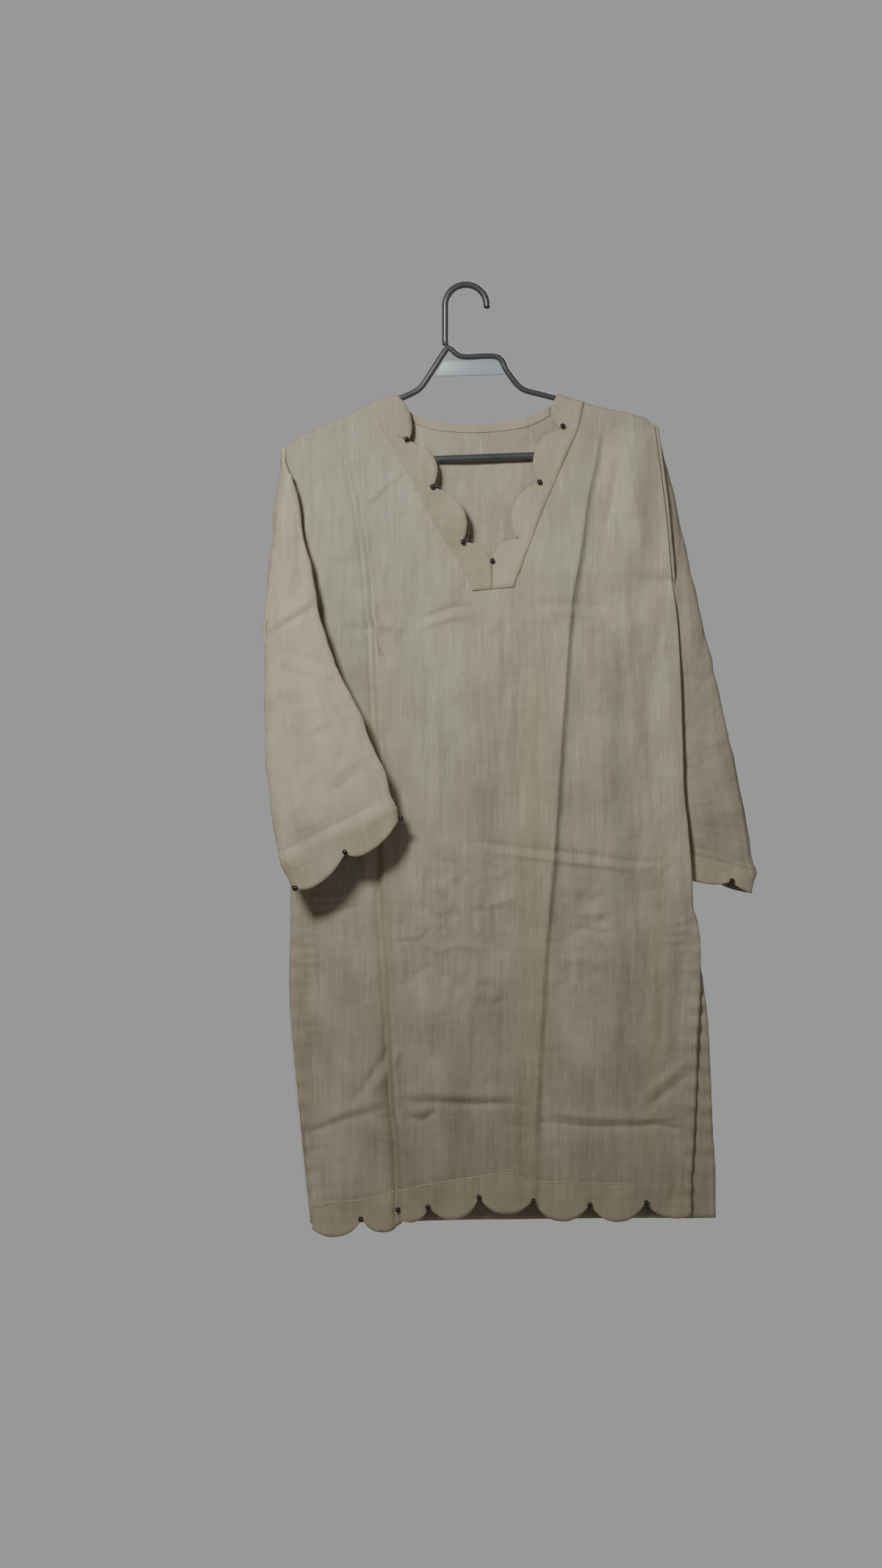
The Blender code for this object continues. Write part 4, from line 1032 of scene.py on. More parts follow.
backPiece, backFacing = buildBack()
print("back:", len(backPiece.data.polygons), "faces")


# The facings on the front

def turnedEdges(down):
    # how much a facing's turned top and its scalloped bottom stand out, down from 0 to 1
    return 0.45 * smoothStep((0.2 - down) / 0.2) + 0.3 * smoothStep((down - 0.85) / 0.15)


def layeredGrid(side, rows, columns, ridge):
    # the front's own points moved out along its normals, with a small roll at the outer edge
    points = frontStood[side]
    normals = gridNormals(points)
    normals *= np.sign(-normals[..., 1:2])
    points, normals = points[rows, columns], normals[rows, columns]
    lift = shell["lift"] + ridge(*points.shape[:2])
    return points + normals * lift[..., None], frontHalves[side][rows, columns], side == "right"


def buildFrontFacings():
    # the neck's band has its turned edge on the outside, and the hem's along its top
    neckRows = shell["arcRows"] + front["neckRows"] + front["footRows"] + 1

    def neckRidge(rows, columns):
        across = np.linspace(0, 1, columns)[None, :] * np.ones((rows, 1))
        foot = smoothStep((np.arange(rows)[:, None] - (rows - 4)) / 4)
        turned = np.maximum(smoothStep((across - 0.78) / 0.2), foot)
        return 0.55 * turned + 0.25 * smoothStep((0.14 - across) / 0.12)

    def hemRidge(rows, columns):
        return turnedEdges(np.linspace(0, 1, rows)[:, None] * np.ones((1, columns)))

    grids = [layeredGrid(side, slice(0, neckRows), slice(0, front["columns"][side][0] + 1), neckRidge)
             for side in ("left", "right")]
    neck = gridMesh("neckFacing", grids, looks["facing cloth"], shell["facingWall"])
    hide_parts("neck_facing")
    total = frontStood["left"].shape[0]
    hemRows = slice(total - 1 - front["hemRows"], total)
    grids = [layeredGrid(side, hemRows, slice(0, sum(front["columns"][side]) + 1), hemRidge)
             for side in ("left", "right")]
    hem = gridMesh("hemFacing", grids, looks["facing cloth"], shell["facingWall"])
    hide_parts("hem_facing")
    return neck, hem


neckFacing, hemFacing = buildFrontFacings()
print("facings on the front")


# The sleeves

sleeve = {
    "round": 112, "rows": 136, "cuffRings": 2, "bowRings": 5.0, "oval": 0.8,
    # over the arm and under it as x, drop and y at each section, half its thickness, and how far its back
    # face has swung round to the front, in degrees
    "sections": {
        "left": (
            (-205.9, 182.1, 0, -201.3, 368.3, 0, 9.0, 0), (-208.9, 182.6, 0, -204.3, 369.0, 0, 9.0, 0),
            (-198.2, 216.2, -22, -226.8, 410.3, -30, 9.0, 180),
            (-183.1, 282.6, -29, -226.8, 448.1, -34, 10.0, 180),
            (-168.0, 367.4, -36, -226.4, 494.3, -38, 10.0, 180),
            (-145.3, 435.5, -43, -224.5, 537.9, -42, 10.5, 180),
            (-119.7, 488.4, -49, -220.9, 574.1, -46, 11.5, 180),
            (-96.1, 547.2, -54, -214.2, 624.5, -50, 13.0, 180),
            (-83.2, 580.8, -56, -210.0, 644.3, -52, 11.0, 180),
            (-79.0, 592.1, -57, -206.5, 655.0, -53, 12.0, 180),
            (-76.6, 607.2, -58, -193.5, 681.6, -54, 12.0, 180),
        ),
        "right": (
            (215.6, 157.4, 0, 235.6, 332.1, 0, 9.0, 0), (218.6, 158.4, 0, 238.9, 332.9, 0, 9.0, 0),
            (236.0, 230.5, 3, 238.5, 385.1, 14, 9.0, 0), (248.6, 286.5, 6, 229.0, 427.1, 21, 9.5, 0),
            (263.8, 349.8, 9, 219.0, 469.1, 25, 10.0, 0), (278.0, 408.6, 11, 211.0, 511.1, 28, 10.5, 0),
            (293.2, 479.1, 13, 204.1, 548.9, 30, 11.5, 0), (308.3, 543.0, 15, 197.4, 586.7, 31, 13.0, 0),
            (330.0, 659.7, 17, 193.2, 620.3, 32, 11.0, 0), (332.5, 668.1, 18, 191.5, 631.2, 33, 12.0, 0),
            (328.0, 684.1, 19, 188.2, 653.9, 33, 12.0, 0),
        ),
    },
    "rings": (1, 6, 2, 2, 1, 1, 1, 1, 1, 2),
    "swing": {"left": (3.0, 6.0), "right": (0.0, 0.0)}, "pinch": 0.25,
    "scallop": {"left": 15.0, "right": 9.0}, "phase": {"left": 0.0, "right": 0.34},
    "creaseHeight": 2.0, "smallHeight": 1.5, "seed": {"left": 81, "right": 91},
    # the small creases' count, ranges of length, height and width, and the heading's spread
    "scattered": (80, (12, 44), (0.2, 0.65), (2.4, 4.6)), "headings": (15, -20), "headingSpread": 40,
    # height, width, lean, then x and drop, on the face that shows and on the hidden one
    "creases": {
        "left": (
            (-1.6, 4.0, 0.2, (-227, 405), (-204, 389), (-168, 368)),
            (1.3, 5.0, 0.2, (-226, 394), (-200, 378), (-172, 358)),
            (-1.5, 4.0, 0.1, (-214, 418), (-180, 427), (-145, 436)),
            (1.3, 5.0, 0.2, (-212, 428), (-180, 440), (-150, 448)),
            (-1.5, 4.5, 0.2, (-176, 540), (-166, 562), (-152, 578)),
            (-1.5, 4.5, 0.2, (-152, 578), (-136, 568), (-118, 552)),
            (1.4, 6.0, 0.2, (-186, 560), (-168, 584), (-148, 596)),
            (1.3, 5.0, 0.2, (-148, 560), (-134, 548), (-120, 536)),
            (1.4, 7.0, 0.2, (-206, 240), (-206, 300), (-198, 360)),
            (-1.3, 6.0, 0.1, (-190, 260), (-188, 310), (-184, 350)),
            (-1.3, 5.0, 0.2, (-216, 470), (-196, 478), (-166, 474)),
            (1.3, 5.0, 0.2, (-204, 500), (-180, 508), (-150, 498)),
            (1.5, 7.0, 0.2, (-200, 520), (-196, 560), (-188, 600)),
            (-1.3, 5.0, 0.2, (-130, 500), (-140, 540), (-150, 560)),
        ),
        "right": (
            (1.3, 7.0, 0.2, (250, 330), (256, 380), (258, 430)),
            (-1.3, 5.0, 0.2, (252, 440), (268, 450), (284, 446)),
            (-1.2, 4.5, 0.2, (250, 500), (270, 512), (292, 508)),
            (1.3, 6.0, 0.2, (256, 540), (276, 552), (300, 548)),
            (1.4, 7.0, 0.2, (262, 560), (272, 610), (280, 650)),
            (-1.4, 6.0, 0.1, (290, 560), (300, 600), (308, 640)),
            (1.2, 5.0, 0.1, (280, 470), (286, 520), (294, 560)),
        ),
    },
    "hidden": {
        "left": (
            (1.4, 6.0, 0.2, (-214, 420), (-180, 404), (-150, 400)),
            (-1.4, 5.0, 0.2, (-214, 470), (-184, 480), (-150, 470)),
            (1.3, 6.0, 0.2, (-206, 540), (-170, 556), (-130, 540)),
            (-1.2, 6.0, 0.1, (-196, 260), (-200, 320), (-206, 380)),
        ),
        "right": (
            (1.3, 6.0, 0.2, (222, 440), (250, 446), (280, 430)),
            (-1.4, 5.0, 0.2, (214, 500), (250, 512), (290, 500)),
            (1.3, 6.0, 0.2, (204, 560), (250, 580), (304, 560)),
            (1.3, 7.0, 0.2, (240, 600), (250, 630), (256, 650)),
        ),
    },
}


def sleeveRings(side):
    # the sections joined into rings: straight runs between them, and a half turn where the sleeve swings over
    table = np.array(sleeve["sections"][side], float)
    over, under = table[:, [0, 2, 1]] * (1, 1, -1), table[:, [3, 5, 4]] * (1, 1, -1)
    sign = -1 if side == "left" else 1
    rings = []
    for number, count in enumerate(sleeve["rings"]):
        turns = np.radians(table[number:number + 2, 7])
        for step in range(count + (number == len(sleeve["rings"]) - 1)):
            part = step / count
            turn = turns[0] + (turns[1] - turns[0]) * part
            if turns[1] != turns[0]:
                part = (1 - math.cos(turn)) / 2
            swing = np.array((sign * math.sin(turn), 0, 0))
            depth = table[number, 6] + (table[number + 1, 6] - table[number, 6]) * part
            rings.append(np.concatenate([
                over[number] + (over[number + 1] - over[number]) * part + swing * sleeve["swing"][side][0],
                under[number] + (under[number + 1] - under[number]) * part + swing * sleeve["swing"][side][1],
                (depth * (1 - sleeve["pinch"] * math.sin(turn)), turn)]))
    return np.array(rings)


def cuffPhase(side, angles):
    # how far through a scallop each angle round the cuff is, two scallops to each face
    across = (1 - np.cos(angles)) / 2
    return (np.where(angles <= np.pi, 2 * across, 4 - 2 * across) + sleeve["phase"][side]) % 1.0


def sleeveGrid(side):
    # ovals between the overarm fold and the underarm seam, their thickness the power of a circle's chord
    rings = sleeveRings(side)
    last = len(rings) - 1
    steps = np.linalg.norm(np.diff((rings[:, :3] + rings[:, 3:6]) / 2, axis=0), axis=1) + 4
    run = np.concatenate([[0], np.cumsum(steps)])
    even = np.interp(np.linspace(0, run[-1], sleeve["rows"] + 1), run, np.arange(last + 1))
    numbers = np.arange(last + 1)
    fine = np.stack([along(np.stack([rings[:, k], numbers], axis=1), even) for k in range(8)], axis=1)
    over, under, depth, turn = fine[:, None, :3], fine[:, None, 3:6], fine[:, 6, None], fine[:, 7, None]
    angles = np.arange(sleeve["round"]) * 2 * np.pi / sleeve["round"]
    across = (1 - np.cos(angles)) / 2
    bulge = np.sign(np.sin(angles)) * (2 * np.sqrt(np.maximum(across * (1 - across), 0))) ** sleeve["oval"]
    outward = np.stack([-np.sin(turn), np.cos(turn), np.zeros_like(turn)], axis=2)
    points = over + (under - over) * across[None, :, None] + outward * (bulge[None, :] * depth)[..., None]
    # the first rings follow the bow of the armhole's edge
    drops = -(fine[0, 2] + (fine[0, 5] - fine[0, 2]) * across)
    edge = sideEdge(side, drops)
    fold = len(angles) // 2
    straight = edge[0] + (edge[fold] - edge[0]) * (drops - drops[0]) / (drops[fold] - drops[0])
    points[..., 0] += (edge - straight)[None, :] * np.maximum(0.0, 1 - even / sleeve["bowRings"])[:, None]
    phase = cuffPhase(side, angles)
    scallop = sleeve["scallop"][side] * (1 - np.abs(2 * phase - 1) ** shell["scallopFullness"])
    toCuff = np.clip((even - (last - sleeve["cuffRings"])) / sleeve["cuffRings"], 0, 1)
    points[..., 2] -= scallop[None, :] * toCuff[:, None]
    return points, even, last, toCuff


def sleeveRelief(side, points, normals, even, last):
    # listed creases on the face that shows and others on the hidden one, small ones and puckers at the cuff
    x, drop = points[..., 0], -points[..., 2]
    shows = smoothStep(0.5 - 1.2 * normals[..., 1])
    seed = sleeve["seed"][side]
    wide, down = (x.min(), x.max()), (drop.min() + 20, drop.max() - 30)
    count, *ranges = sleeve["scattered"]
    small = [scatteredCreases(seed + k, count, wide, down, *ranges, heading, sleeve["headingSpread"])
             for k, heading in enumerate(sleeve["headings"])]
    relief = shows * (sleeve["creaseHeight"] * creaseRelief(x, drop, sleeve["creases"][side])
                      + sleeve["smallHeight"] * creaseRelief(x, drop, small[0]))
    relief += (1 - shows) * (creaseRelief(x, drop, sleeve["hidden"][side]) + creaseRelief(x, drop, small[1]))
    relief += ripple(x + 3 * points[..., 1], drop, seed + 2, 70.0, 1.0)
    relief += ripple(x, drop, seed + 3, 30.0, 0.35)
    # quiet at the armhole
    quiet = smoothStep((even - 0.6) / 2.0)[:, None]
    # the cuff: a groove where its facing starts, a bulge above it, and puckers below
    fromCuff = even - (last - 4.0)
    groove = np.exp(-(((fromCuff - 1.0) / 0.16) ** 2)) + 0.8 * np.exp(-(((fromCuff - 1.95) / 0.10) ** 2))
    swell = np.exp(-(((fromCuff - 0.35) / 0.45) ** 2))
    angle = np.arange(points.shape[1]) * 2 * np.pi / points.shape[1]
    wave = np.sin(angle * 19 + 1.7 * np.sin(3 * angle + seed)) * (0.6 + 0.4 * np.sin(5 * angle + seed))
    slow = np.sin(angle * 8 + 1.1 * np.sin(2 * angle + seed))
    near = np.exp(-(((fromCuff - 1.3) / 1.1) ** 2))
    return (relief * quiet + (1.3 * swell - 0.9 * groove)[:, None]
            + near[:, None] * (0.55 * wave + 0.6 * slow)[None, :])


def buildSleeve(side):
    points, even, last, toCuff = sleeveGrid(side)
    normals = gridNormals(points, closed=True)
    # the normals are turned to point out of the tube
    middle = points.mean(axis=1, keepdims=True)
    sign = np.sign(((points - middle) * normals).sum(axis=(0, 1, 2)))
    normals = normals * sign
    points = points + normals * sleeveRelief(side, points, normals, even, last)[..., None]
    # laid flat by the mean width of each column and the mean length of each row
    closed = np.concatenate([points, points[:, :1]], axis=1)
    widths = np.linalg.norm(np.diff(closed, axis=1), axis=2).mean(axis=0)
    lengths = np.linalg.norm(np.diff(points, axis=0), axis=2).mean(axis=1)
    around, downs = (np.concatenate([[0], np.cumsum(steps)]) for steps in (widths, lengths))
    flat = np.stack(np.broadcast_arrays(around[None, :], downs[:, None]), axis=2)
    # each sleeve has its own copy of the cloth, with painted light on the left one and painted shade on the
    # right one
    piece = gridMesh("sleeve" + side.capitalize(), [(points, flat, side == "left")],
                     looks[side + " sleeve cloth with painted shading"], shell["wall"], closed=True)
    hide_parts("sleeve_" + side)
    first = int(np.searchsorted(toCuff, 0.02)) - 1
    out = gridNormals(points, closed=True) * sign
    lift = shell["lift"] + turnedEdges(np.linspace(0, 1, len(points) - first))
    moved = points[first:] + out[first:] * lift[:, None, None]
    cuff = gridMesh("cuffFacing" + side.capitalize(), [(moved, flat[first:], side == "left")],
                    looks["facing cloth"], shell["facingWall"], closed=True)
    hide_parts("cuff_facing_" + side)
    return piece, cuff, moved, out[first:]


sleeves = {side: buildSleeve(side) for side in ("left", "right")}
print("sleeves:", [len(made[0].data.polygons) for made in sleeves.values()], "faces")


# Sewing and beads

sewing = {
    "stitch": 2.3, "pitch": 3.4, "thread": 0.42, "rise": 0.12, "overFacing": 0.5,
    # how far each row runs from its edge
    "fromFacingEdge": 3.2, "fromNotches": 3.0, "fromSlit": 2.6, "fromHemTop": 2.6, "backHem": 16.0,
    "foot": ((6.0, 341.5), (24.0, 343.0), (52.0, 340.0)),
}


def surfaceOf(depth, forward, lift):
    # spots of x and drop on a panel, and which way is out of it there, from the panel's own depth
    def place(path):
        x, drop = path[:, 0], path[:, 1]
        step = 0.6
        slopeX = (depth(x + step, drop) - depth(x - step, drop)) / (2 * step)
        slopeD = (depth(x, drop + step) - depth(x, drop - step)) / (2 * step)
        out = np.stack([-slopeX, np.full(len(x), forward * 1.0), slopeD], axis=1)
        out /= np.linalg.norm(out, axis=1, keepdims=True)
        spots = np.stack([x, forward * depth(x, drop), -drop], axis=1)
        return spots + out * lift, out
    return place


def spaced(path, pitch, start=0.0):
    # points at an even pace along a line of points
    path = np.array(path, float)
    run = np.concatenate([[0], np.cumsum(np.linalg.norm(np.diff(path, axis=0), axis=1))])
    even = np.arange(start, run[-1], pitch)
    return np.stack([np.interp(even, run, path[:, k]) for k in range(path.shape[1])], axis=1)


def smoothLine(table, by, count=60, low=None, high=None):
    # a table's curve read at many places, by x or by drop
    rows = np.array(table, float)
    low = rows[:, by].min() if low is None else low
    high = rows[:, by].max() if high is None else high
    at = np.linspace(low, high, count)
    other = along(table, at, column=1 - by, by=by)
    return np.stack([at, other] if by == 0 else [other, at], axis=1)


def stitchRow(centres, outs):
    # each stitch is a small six-sided lens from one needle hole to the next, a little proud of the cloth
    heading = np.gradient(centres, axis=0)
    heading /= np.maximum(np.linalg.norm(heading, axis=1, keepdims=True), 1e-9)
    beside = np.cross(heading, outs)
    beside /= np.maximum(np.linalg.norm(beside, axis=1, keepdims=True), 1e-9)
    out = np.cross(beside, heading)
    parts = np.array((-0.5, -0.28, 0.0, 0.28, 0.5))
    turns = np.arange(6) * np.pi / 3
    fat = sewing["thread"] / 2 * np.array((0.35, 0.95, 1.0, 0.95, 0.35))
    lift = sewing["rise"] * np.array((-2.0, 0.6, 1.0, 0.6, -2.0))
    centre = (centres[:, None] + heading[:, None] * (parts * sewing["stitch"])[None, :, None]
              + out[:, None] * lift[None, :, None])
    ring = (beside[:, None, None] * np.cos(turns)[None, None, :, None]
            + out[:, None, None] * np.sin(turns)[None, None, :, None])
    points = centre[:, :, None] + ring * fat[None, :, None, None]
    corner = np.arange(len(centres) * 30).reshape(len(centres), 5, 6)
    after = np.roll(corner, -1, axis=2)
    quads = np.stack([corner[:, :-1], after[:, :-1], after[:, 1:], corner[:, 1:]], axis=-1).reshape(-1, 4)
    caps = np.concatenate([corner[:, 0, ::-1], corner[:, -1]]).reshape(-1, 6)
    return points.reshape(-1, 3), quads, caps


def joinedMesh(name, shapes, look):
    # points in mm, with quads and other faces, made one piece
    points, faces, start = [], [], 0
    for spots, quads, caps in shapes:
        points.append(spots)
        faces.extend((quads + start).tolist())
        faces.extend((caps + start).tolist())
        start += len(spots)
    mesh = bpy.data.meshes.new(name)
    mesh.from_pydata((np.concatenate(points) * mm).tolist(), [], faces)
    mesh.shade_smooth()
    whole = bmesh.new()
    whole.from_mesh(mesh)
    bmesh.ops.recalc_face_normals(whole, faces=whole.faces)
    whole.to_mesh(mesh)
    whole.free()
    return pieceOf(name, mesh, look)


def onFront(lift):
    # places on the front's outside, a lift above it
    return surfaceOf(frontDepth, -1, lift)


def inset(path, distance):
    # a line moved to its left by a distance
    path = np.array(path, float)
    heading = np.gradient(path, axis=0)
    heading /= np.maximum(np.linalg.norm(heading, axis=1, keepdims=True), 1e-9)
    return path + distance * np.stack([heading[:, 1], -heading[:, 0]], axis=1)


def buildSewing():
    # a row of stitches along each sewn line
    top = shell["wall"] / 2
    facingTop = shell["lift"] + shell["facingWall"] / 2 + sewing["overFacing"]
    rows = []

    def sew(place, line):
        rows.append(stitchRow(*place(spaced(line, sewing["pitch"]))))

    for side, sign in (("left", 1), ("right", -1)):
        edge = [row for row in front["facingEdge"][side] if row[1] < 345]
        line = smoothLine(edge, 1, low=edge[0][1] + 10, high=341)
        sew(onFront(facingTop), inset(line, sign * sewing["fromFacingEdge"]))
        sew(onFront(top), slitLine(side, front["bandWidth"], 1040))
        sew(onFront(top), slitLine(side, sewing["fromSlit"], 1046))
        neck = scalloped(front["neckEdge"][side], side)[14:]
        sew(onFront(facingTop - 0.3), inset(neck, sign * sewing["fromNotches"]))
    sew(onFront(facingTop), sewing["foot"])
    hemTop = smoothLine(front["hemFacingTop"], 0, low=-172, high=252)
    sew(onFront(facingTop), hemTop + (0, sewing["fromHemTop"]))
    # the back's slits and hem
    onBack = surfaceOf(backDepth, 1, top)
    bottom = {side: back["hemDrop"][side] - sewing["backHem"] for side in ("left", "right")}
    for side, sign in (("left", 1), ("right", -1)):
        drops = np.linspace(hanging["slitTop"][side], bottom[side], 50)
        sew(onBack, np.stack([backEdge(side, drops) + sign * front["bandWidth"], drops], axis=1))
    left, right = (np.array((back["edge"][side][-1][0], bottom[side])) for side in ("left", "right"))
    sew(onBack, left + (right - left) * np.linspace(0.05, 0.95, 60)[:, None])
    # round the cuffs, just under the top of each facing
    for side in ("left", "right"):
        moved, out = sleeves[side][2:]
        row = int(0.14 * len(moved)) + 2
        loop = np.concatenate([np.concatenate([grid[row], grid[row][:1]]) for grid in (moved, out)], axis=1)
        run = np.concatenate([[0], np.cumsum(np.linalg.norm(np.diff(loop[:, :3], axis=0), axis=1))])
        even = np.arange(0, run[-1] - sewing["pitch"] / 2, sewing["pitch"])
        found = np.stack([np.interp(even, run, column) for column in loop.T], axis=1)
        rows.append(stitchRow(found[:, :3] + found[:, 3:] * (shell["facingWall"] / 2), found[:, 3:]))
    piece = joinedMesh("sewing", rows, looks["thread"])
    return sum(len(row[0]) // 30 for row in rows)


beads = {
    "radius": 3.1, "half": 2.6, "hole": 0.6, "sides": 20, "proud": 0.72,
    "thread": (1.0, 0.0, 0.2), "overCuff": 1.5, "rolled": 7,
    "neck": ((-68.0, 175.1), (-38.6, 230.0), (-3.6, 291.8), (29.8, 313.4), (83.6, 223.4), (110.0, 159.1)),
    "hem": ((-118.8, 1061.3), (-74.3, 1049.5), (-43.7, 1047.0), (14.3, 1035.2), (75.6, 1038.6),
            (140.3, 1044.5), (204.1, 1042.8)),
}


def beadAt(spot, out, axis):
    # a short barrel turned about its thread, with a drilled hole
    axis = axis / np.linalg.norm(axis)
    side = np.cross(axis, out)
    side /= np.linalg.norm(side)
    up = np.cross(side, axis)
    radius, half, hole, sides = (beads[key] for key in ("radius", "half", "hole", "sides"))
    bow = np.linspace(-np.pi / 2, np.pi / 2, 11)
    far = np.concatenate([half * np.sin(bow), np.linspace(half, -half, 4)[1:-1]])
    wide = np.concatenate([hole + (radius - hole) * np.cos(bow) ** 0.62, np.full(2, hole)])
    turns = np.arange(sides) * 2 * np.pi / sides
    points = (far[:, None, None] * axis + wide[:, None, None]
              * (np.cos(turns)[None, :, None] * side + np.sin(turns)[None, :, None] * up))
    corner = np.arange(len(points) * sides).reshape(len(points), sides)
    after = np.roll(corner, -1, axis=1)
    quads = np.stack([corner, after, np.roll(after, -1, axis=0), np.roll(corner, -1, axis=0)], axis=-1)
    points = (points + spot + out * (radius * beads["proud"])).reshape(-1, 3)
    return points, quads.reshape(-1, 4), np.zeros((0, 4), int)


def buildBeads():
    # a bead at each notch of the neck, the hem and the cuffs
    spots, outs = onFront(shell["lift"] + shell["facingWall"] / 2)(np.array(beads["neck"] + beads["hem"]))
    shapes = [beadAt(spot, out, np.array(beads["thread"])) for spot, out in zip(spots, outs)]
    for side in ("left", "right"):
        edge, out = (grid[-1] for grid in sleeves[side][2:])
        count = len(edge)
        phase = cuffPhase(side, np.arange(count) * 2 * np.pi / count)
        gap = np.minimum(phase, 1 - phase)
        for k in range(count):
            if gap[k] <= gap[k - 1] and gap[k] < gap[(k + 1) % count]:
                if side == "left" and k == count // 2:
                    # this notch is at the fold under the arm: its bead has rolled on to the face that shows
                    k -= beads["rolled"]
                spot, way = edge[k] + (0, 0, beads["overCuff"]), edge[(k + 1) % count] - edge[k - 1]
                shapes.append(beadAt(spot, out[k], way))
    piece = joinedMesh("beads", shapes, looks["bead"])
    return len(shapes)


print("stitches:", buildSewing())
print("beads:", buildBeads())


# The hanger

hanger = {
    "armRadius": 3.4, "barRadius": 4.2, "hookRadius": 3.75, "hookBend": 23.7, "sides": 28,
    "leftEnd": ((-178.0, 201.5), (-183.5, 201.7), (-188.8, 199.8), (-192.4, 195.0), (-193.8, 188.0),
                (-193.0, 181.2)),
    "leftArm": (-186.0, -162.1, -136.1, -108.8, -84.0), "rightArm": (110.0, 134.4, 157.1, 180.0, 198.0),
    "neck": ((-73.9, 125.9), (-57.2, 118.0), (-50.3, 112.0), (-45.6, 105.4), (-36.6, 91.6), (-22.7, 70.5),
             (-17.5, 69.5), (-10.6, 75.5), (-0.8, 78.7), (35.3, 78.7), (46.2, 94.0), (57.2, 109.0),
             (64.2, 115.0), (72.0, 118.2), (99.0, 125.0)),
    "rightEnd": ((204.6, 159.0), (206.0, 167.0), (204.6, 176.0), (201.0, 183.0), (195.8, 186.9),
                 (190.0, 187.4)),
    "stem": (65.9, 50.0, 35.0), "hookEnd": -9.0,
    "plate": ((-26.0, 83.2), (33.8, 83.2), (44.6, 99.2), (-35.4, 101.0)), "plateThick": 2.4,
    "plateRound": 2.2, "plateRim": 0.4,
}


def smoothPath(points, spacing):
    # a Catmull-Rom curve through the points, read at an even spacing
    points = np.array(points, float)
    ends = np.concatenate([[2 * points[0] - points[1]], points, [2 * points[-1] - points[-2]]])
    part = np.linspace(0, 1, 20, endpoint=False)[:, None]
    dense = [0.5 * (2 * start + (end - before) * part + (2 * before - 5 * start + 4 * end - after) * part**2
                    + (3 * start - before - 3 * end + after) * part**3)
             for before, start, end, after in zip(ends, ends[1:], ends[2:], ends[3:])]
    dense = np.concatenate(dense + [points[-1:]])
    return spaced(dense, spacing)


def roundBar(name, path, radius, look, roundEnds=1.0):
    # a circle carried along x and drop in the plane of the shoulders, closed by a low dome at each end
    path = np.stack([path[:, 0], np.zeros(len(path)), -path[:, 1]], axis=1)
    heading = np.gradient(path, axis=0)
    heading /= np.linalg.norm(heading, axis=1, keepdims=True)
    beside = np.cross(heading, (0.0, 1.0, 0.0))
    turns = np.arange(hanger["sides"]) * 2 * np.pi / hanger["sides"]
    dome = np.radians(np.array((88.0, 65.0, 42.0, 20.0)))
    rise = (roundEnds * (1 - np.sin(dome)))[:, None]
    centres = np.concatenate([path[:1] + heading[:1] * rise, path[1:-1],
                              path[-1:] - heading[-1:] * rise[::-1]])
    sideways = np.concatenate([np.repeat(beside[:1], 4, 0), beside[1:-1], np.repeat(beside[-1:], 4, 0)])
    ends = roundEnds * (1 - np.cos(dome))
    wide = radius - np.concatenate([ends, np.zeros(len(path) - 2), ends[::-1]])
    rings = (centres[:, None] + wide[:, None, None] * (np.cos(turns)[None, :, None] * sideways[:, None]
             + np.sin(turns)[None, :, None] * np.array((0.0, 1.0, 0.0))))
    sides = hanger["sides"]
    corner = np.arange(len(rings) * sides).reshape(len(rings), sides)
    after = np.roll(corner, -1, axis=1)
    quads = np.stack([corner[:-1], after[:-1], after[1:], corner[1:]], axis=-1).reshape(-1, 4)
    caps = np.stack([corner[0, ::-1], corner[-1]])
    piece = joinedMesh(name, [(rings.reshape(-1, 3), quads, caps)], look)
    return piece


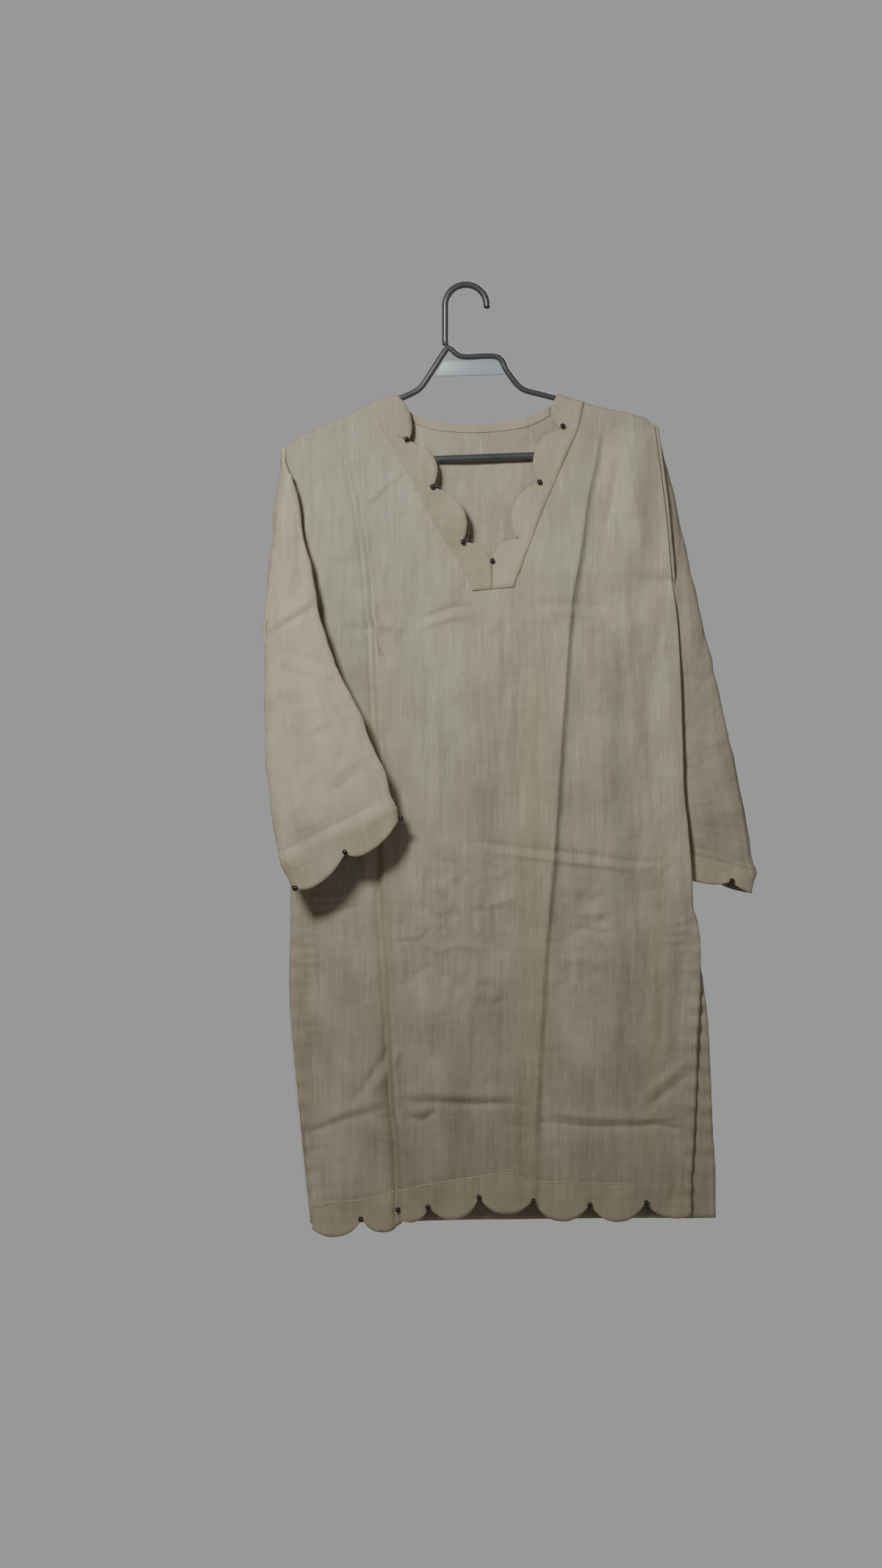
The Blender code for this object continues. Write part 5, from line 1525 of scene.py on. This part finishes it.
def buildHanger():
    below = shoulderRadius / hanging["slope"]
    leftArm = [(x, float(shoulderDrop(np.array(x))) + below) for x in hanger["leftArm"]]
    rightArm = [(x, float(shoulderDrop(np.array(x))) + below) for x in hanger["rightArm"]]
    route = list(hanger["leftEnd"]) + leftArm + list(hanger["neck"]) + rightArm + list(hanger["rightEnd"])
    arms = roundBar("hangerArms", smoothPath(route, 3.0), hanger["armRadius"], looks["plastic"])
    left, right = np.array(hanging["bar"])
    bar = roundBar("hangerBar", left + (right - left) * np.linspace(0.0011, 0.9989, 60)[:, None],
                   hanger["barRadius"], looks["plastic"])
    turns = np.radians(np.linspace(180, hanger["hookEnd"], 60))
    bend, radius = hanger["hookBend"], hanger["hookRadius"]
    stem = np.stack([np.full(12, -bend), np.linspace(hanger["stem"][0], bend - radius + 1.0, 12)], axis=1)
    turn = np.stack([bend * np.cos(turns), bend - radius - bend * np.sin(turns)], axis=1)
    hook = roundBar("hangerHook", np.concatenate([stem, turn]), radius, looks["plastic"], roundEnds=2.2)
    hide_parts("hanger_arms")
    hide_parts("hanger_bar")
    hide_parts("hanger_hook")


def buildPlate():
    # the plate's outline, with its rim rounded by a bevel
    half = hanger["plateThick"] / 2
    outline = hanger["plate"]
    points = [(x, y, -drop) for y in (-half, half) for x, drop in outline]
    mesh = bpy.data.meshes.new("hangerPlate")
    faces = [(3, 2, 1, 0), (4, 5, 6, 7)] + [(k, (k + 1) % 4, (k + 1) % 4 + 4, k + 4) for k in range(4)]
    mesh.from_pydata((np.array(points) * mm).tolist(), [], faces)
    whole = bmesh.new()
    whole.from_mesh(mesh)
    upright = [edge for edge in whole.edges if abs(edge.verts[0].co.y - edge.verts[1].co.y) > half * mm]
    bmesh.ops.bevel(whole, geom=upright, offset=hanger["plateRound"] * mm, segments=5, affect="EDGES",
                    profile=0.5)
    rims = [edge for edge in whole.edges if edge.calc_face_angle(0) > 1.2]
    bmesh.ops.bevel(whole, geom=rims, offset=hanger["plateRim"] * mm, segments=3, affect="EDGES", profile=0.5)
    bmesh.ops.recalc_face_normals(whole, faces=whole.faces)
    whole.to_mesh(mesh)
    whole.free()
    mesh.shade_smooth()
    mesh.set_sharp_from_angle(angle=math.radians(35))
    plate = pieceOf("hangerPlate", mesh, looks["plate"])
    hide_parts("hanger_plate")


buildHanger()
buildPlate()
print("hanger")


def areaOf(piece):
    mesh = piece.data
    areas = np.empty(len(mesh.polygons))
    mesh.polygons.foreach_get("area", areas)
    return areas.sum()


def declare(piece, flat):
    # the smaller of the shell's area and its flat cut's, from which it was laid out, is worked out but not
    # kept
    area = min(areaOf(piece), flat[0] * flat[1])


declare(frontPiece, (0.48, 0.96))
declare(backPiece, (0.49, 0.95))
declare(neckFacing, (0.05, 0.46))
declare(hemFacing, (0.44, 0.06))
declare(backFacing, (0.18, 0.02))
for side in ("left", "right"):
    declare(sleeves[side][0], (0.40, 0.48))
    declare(sleeves[side][1], (0.34, 0.06))
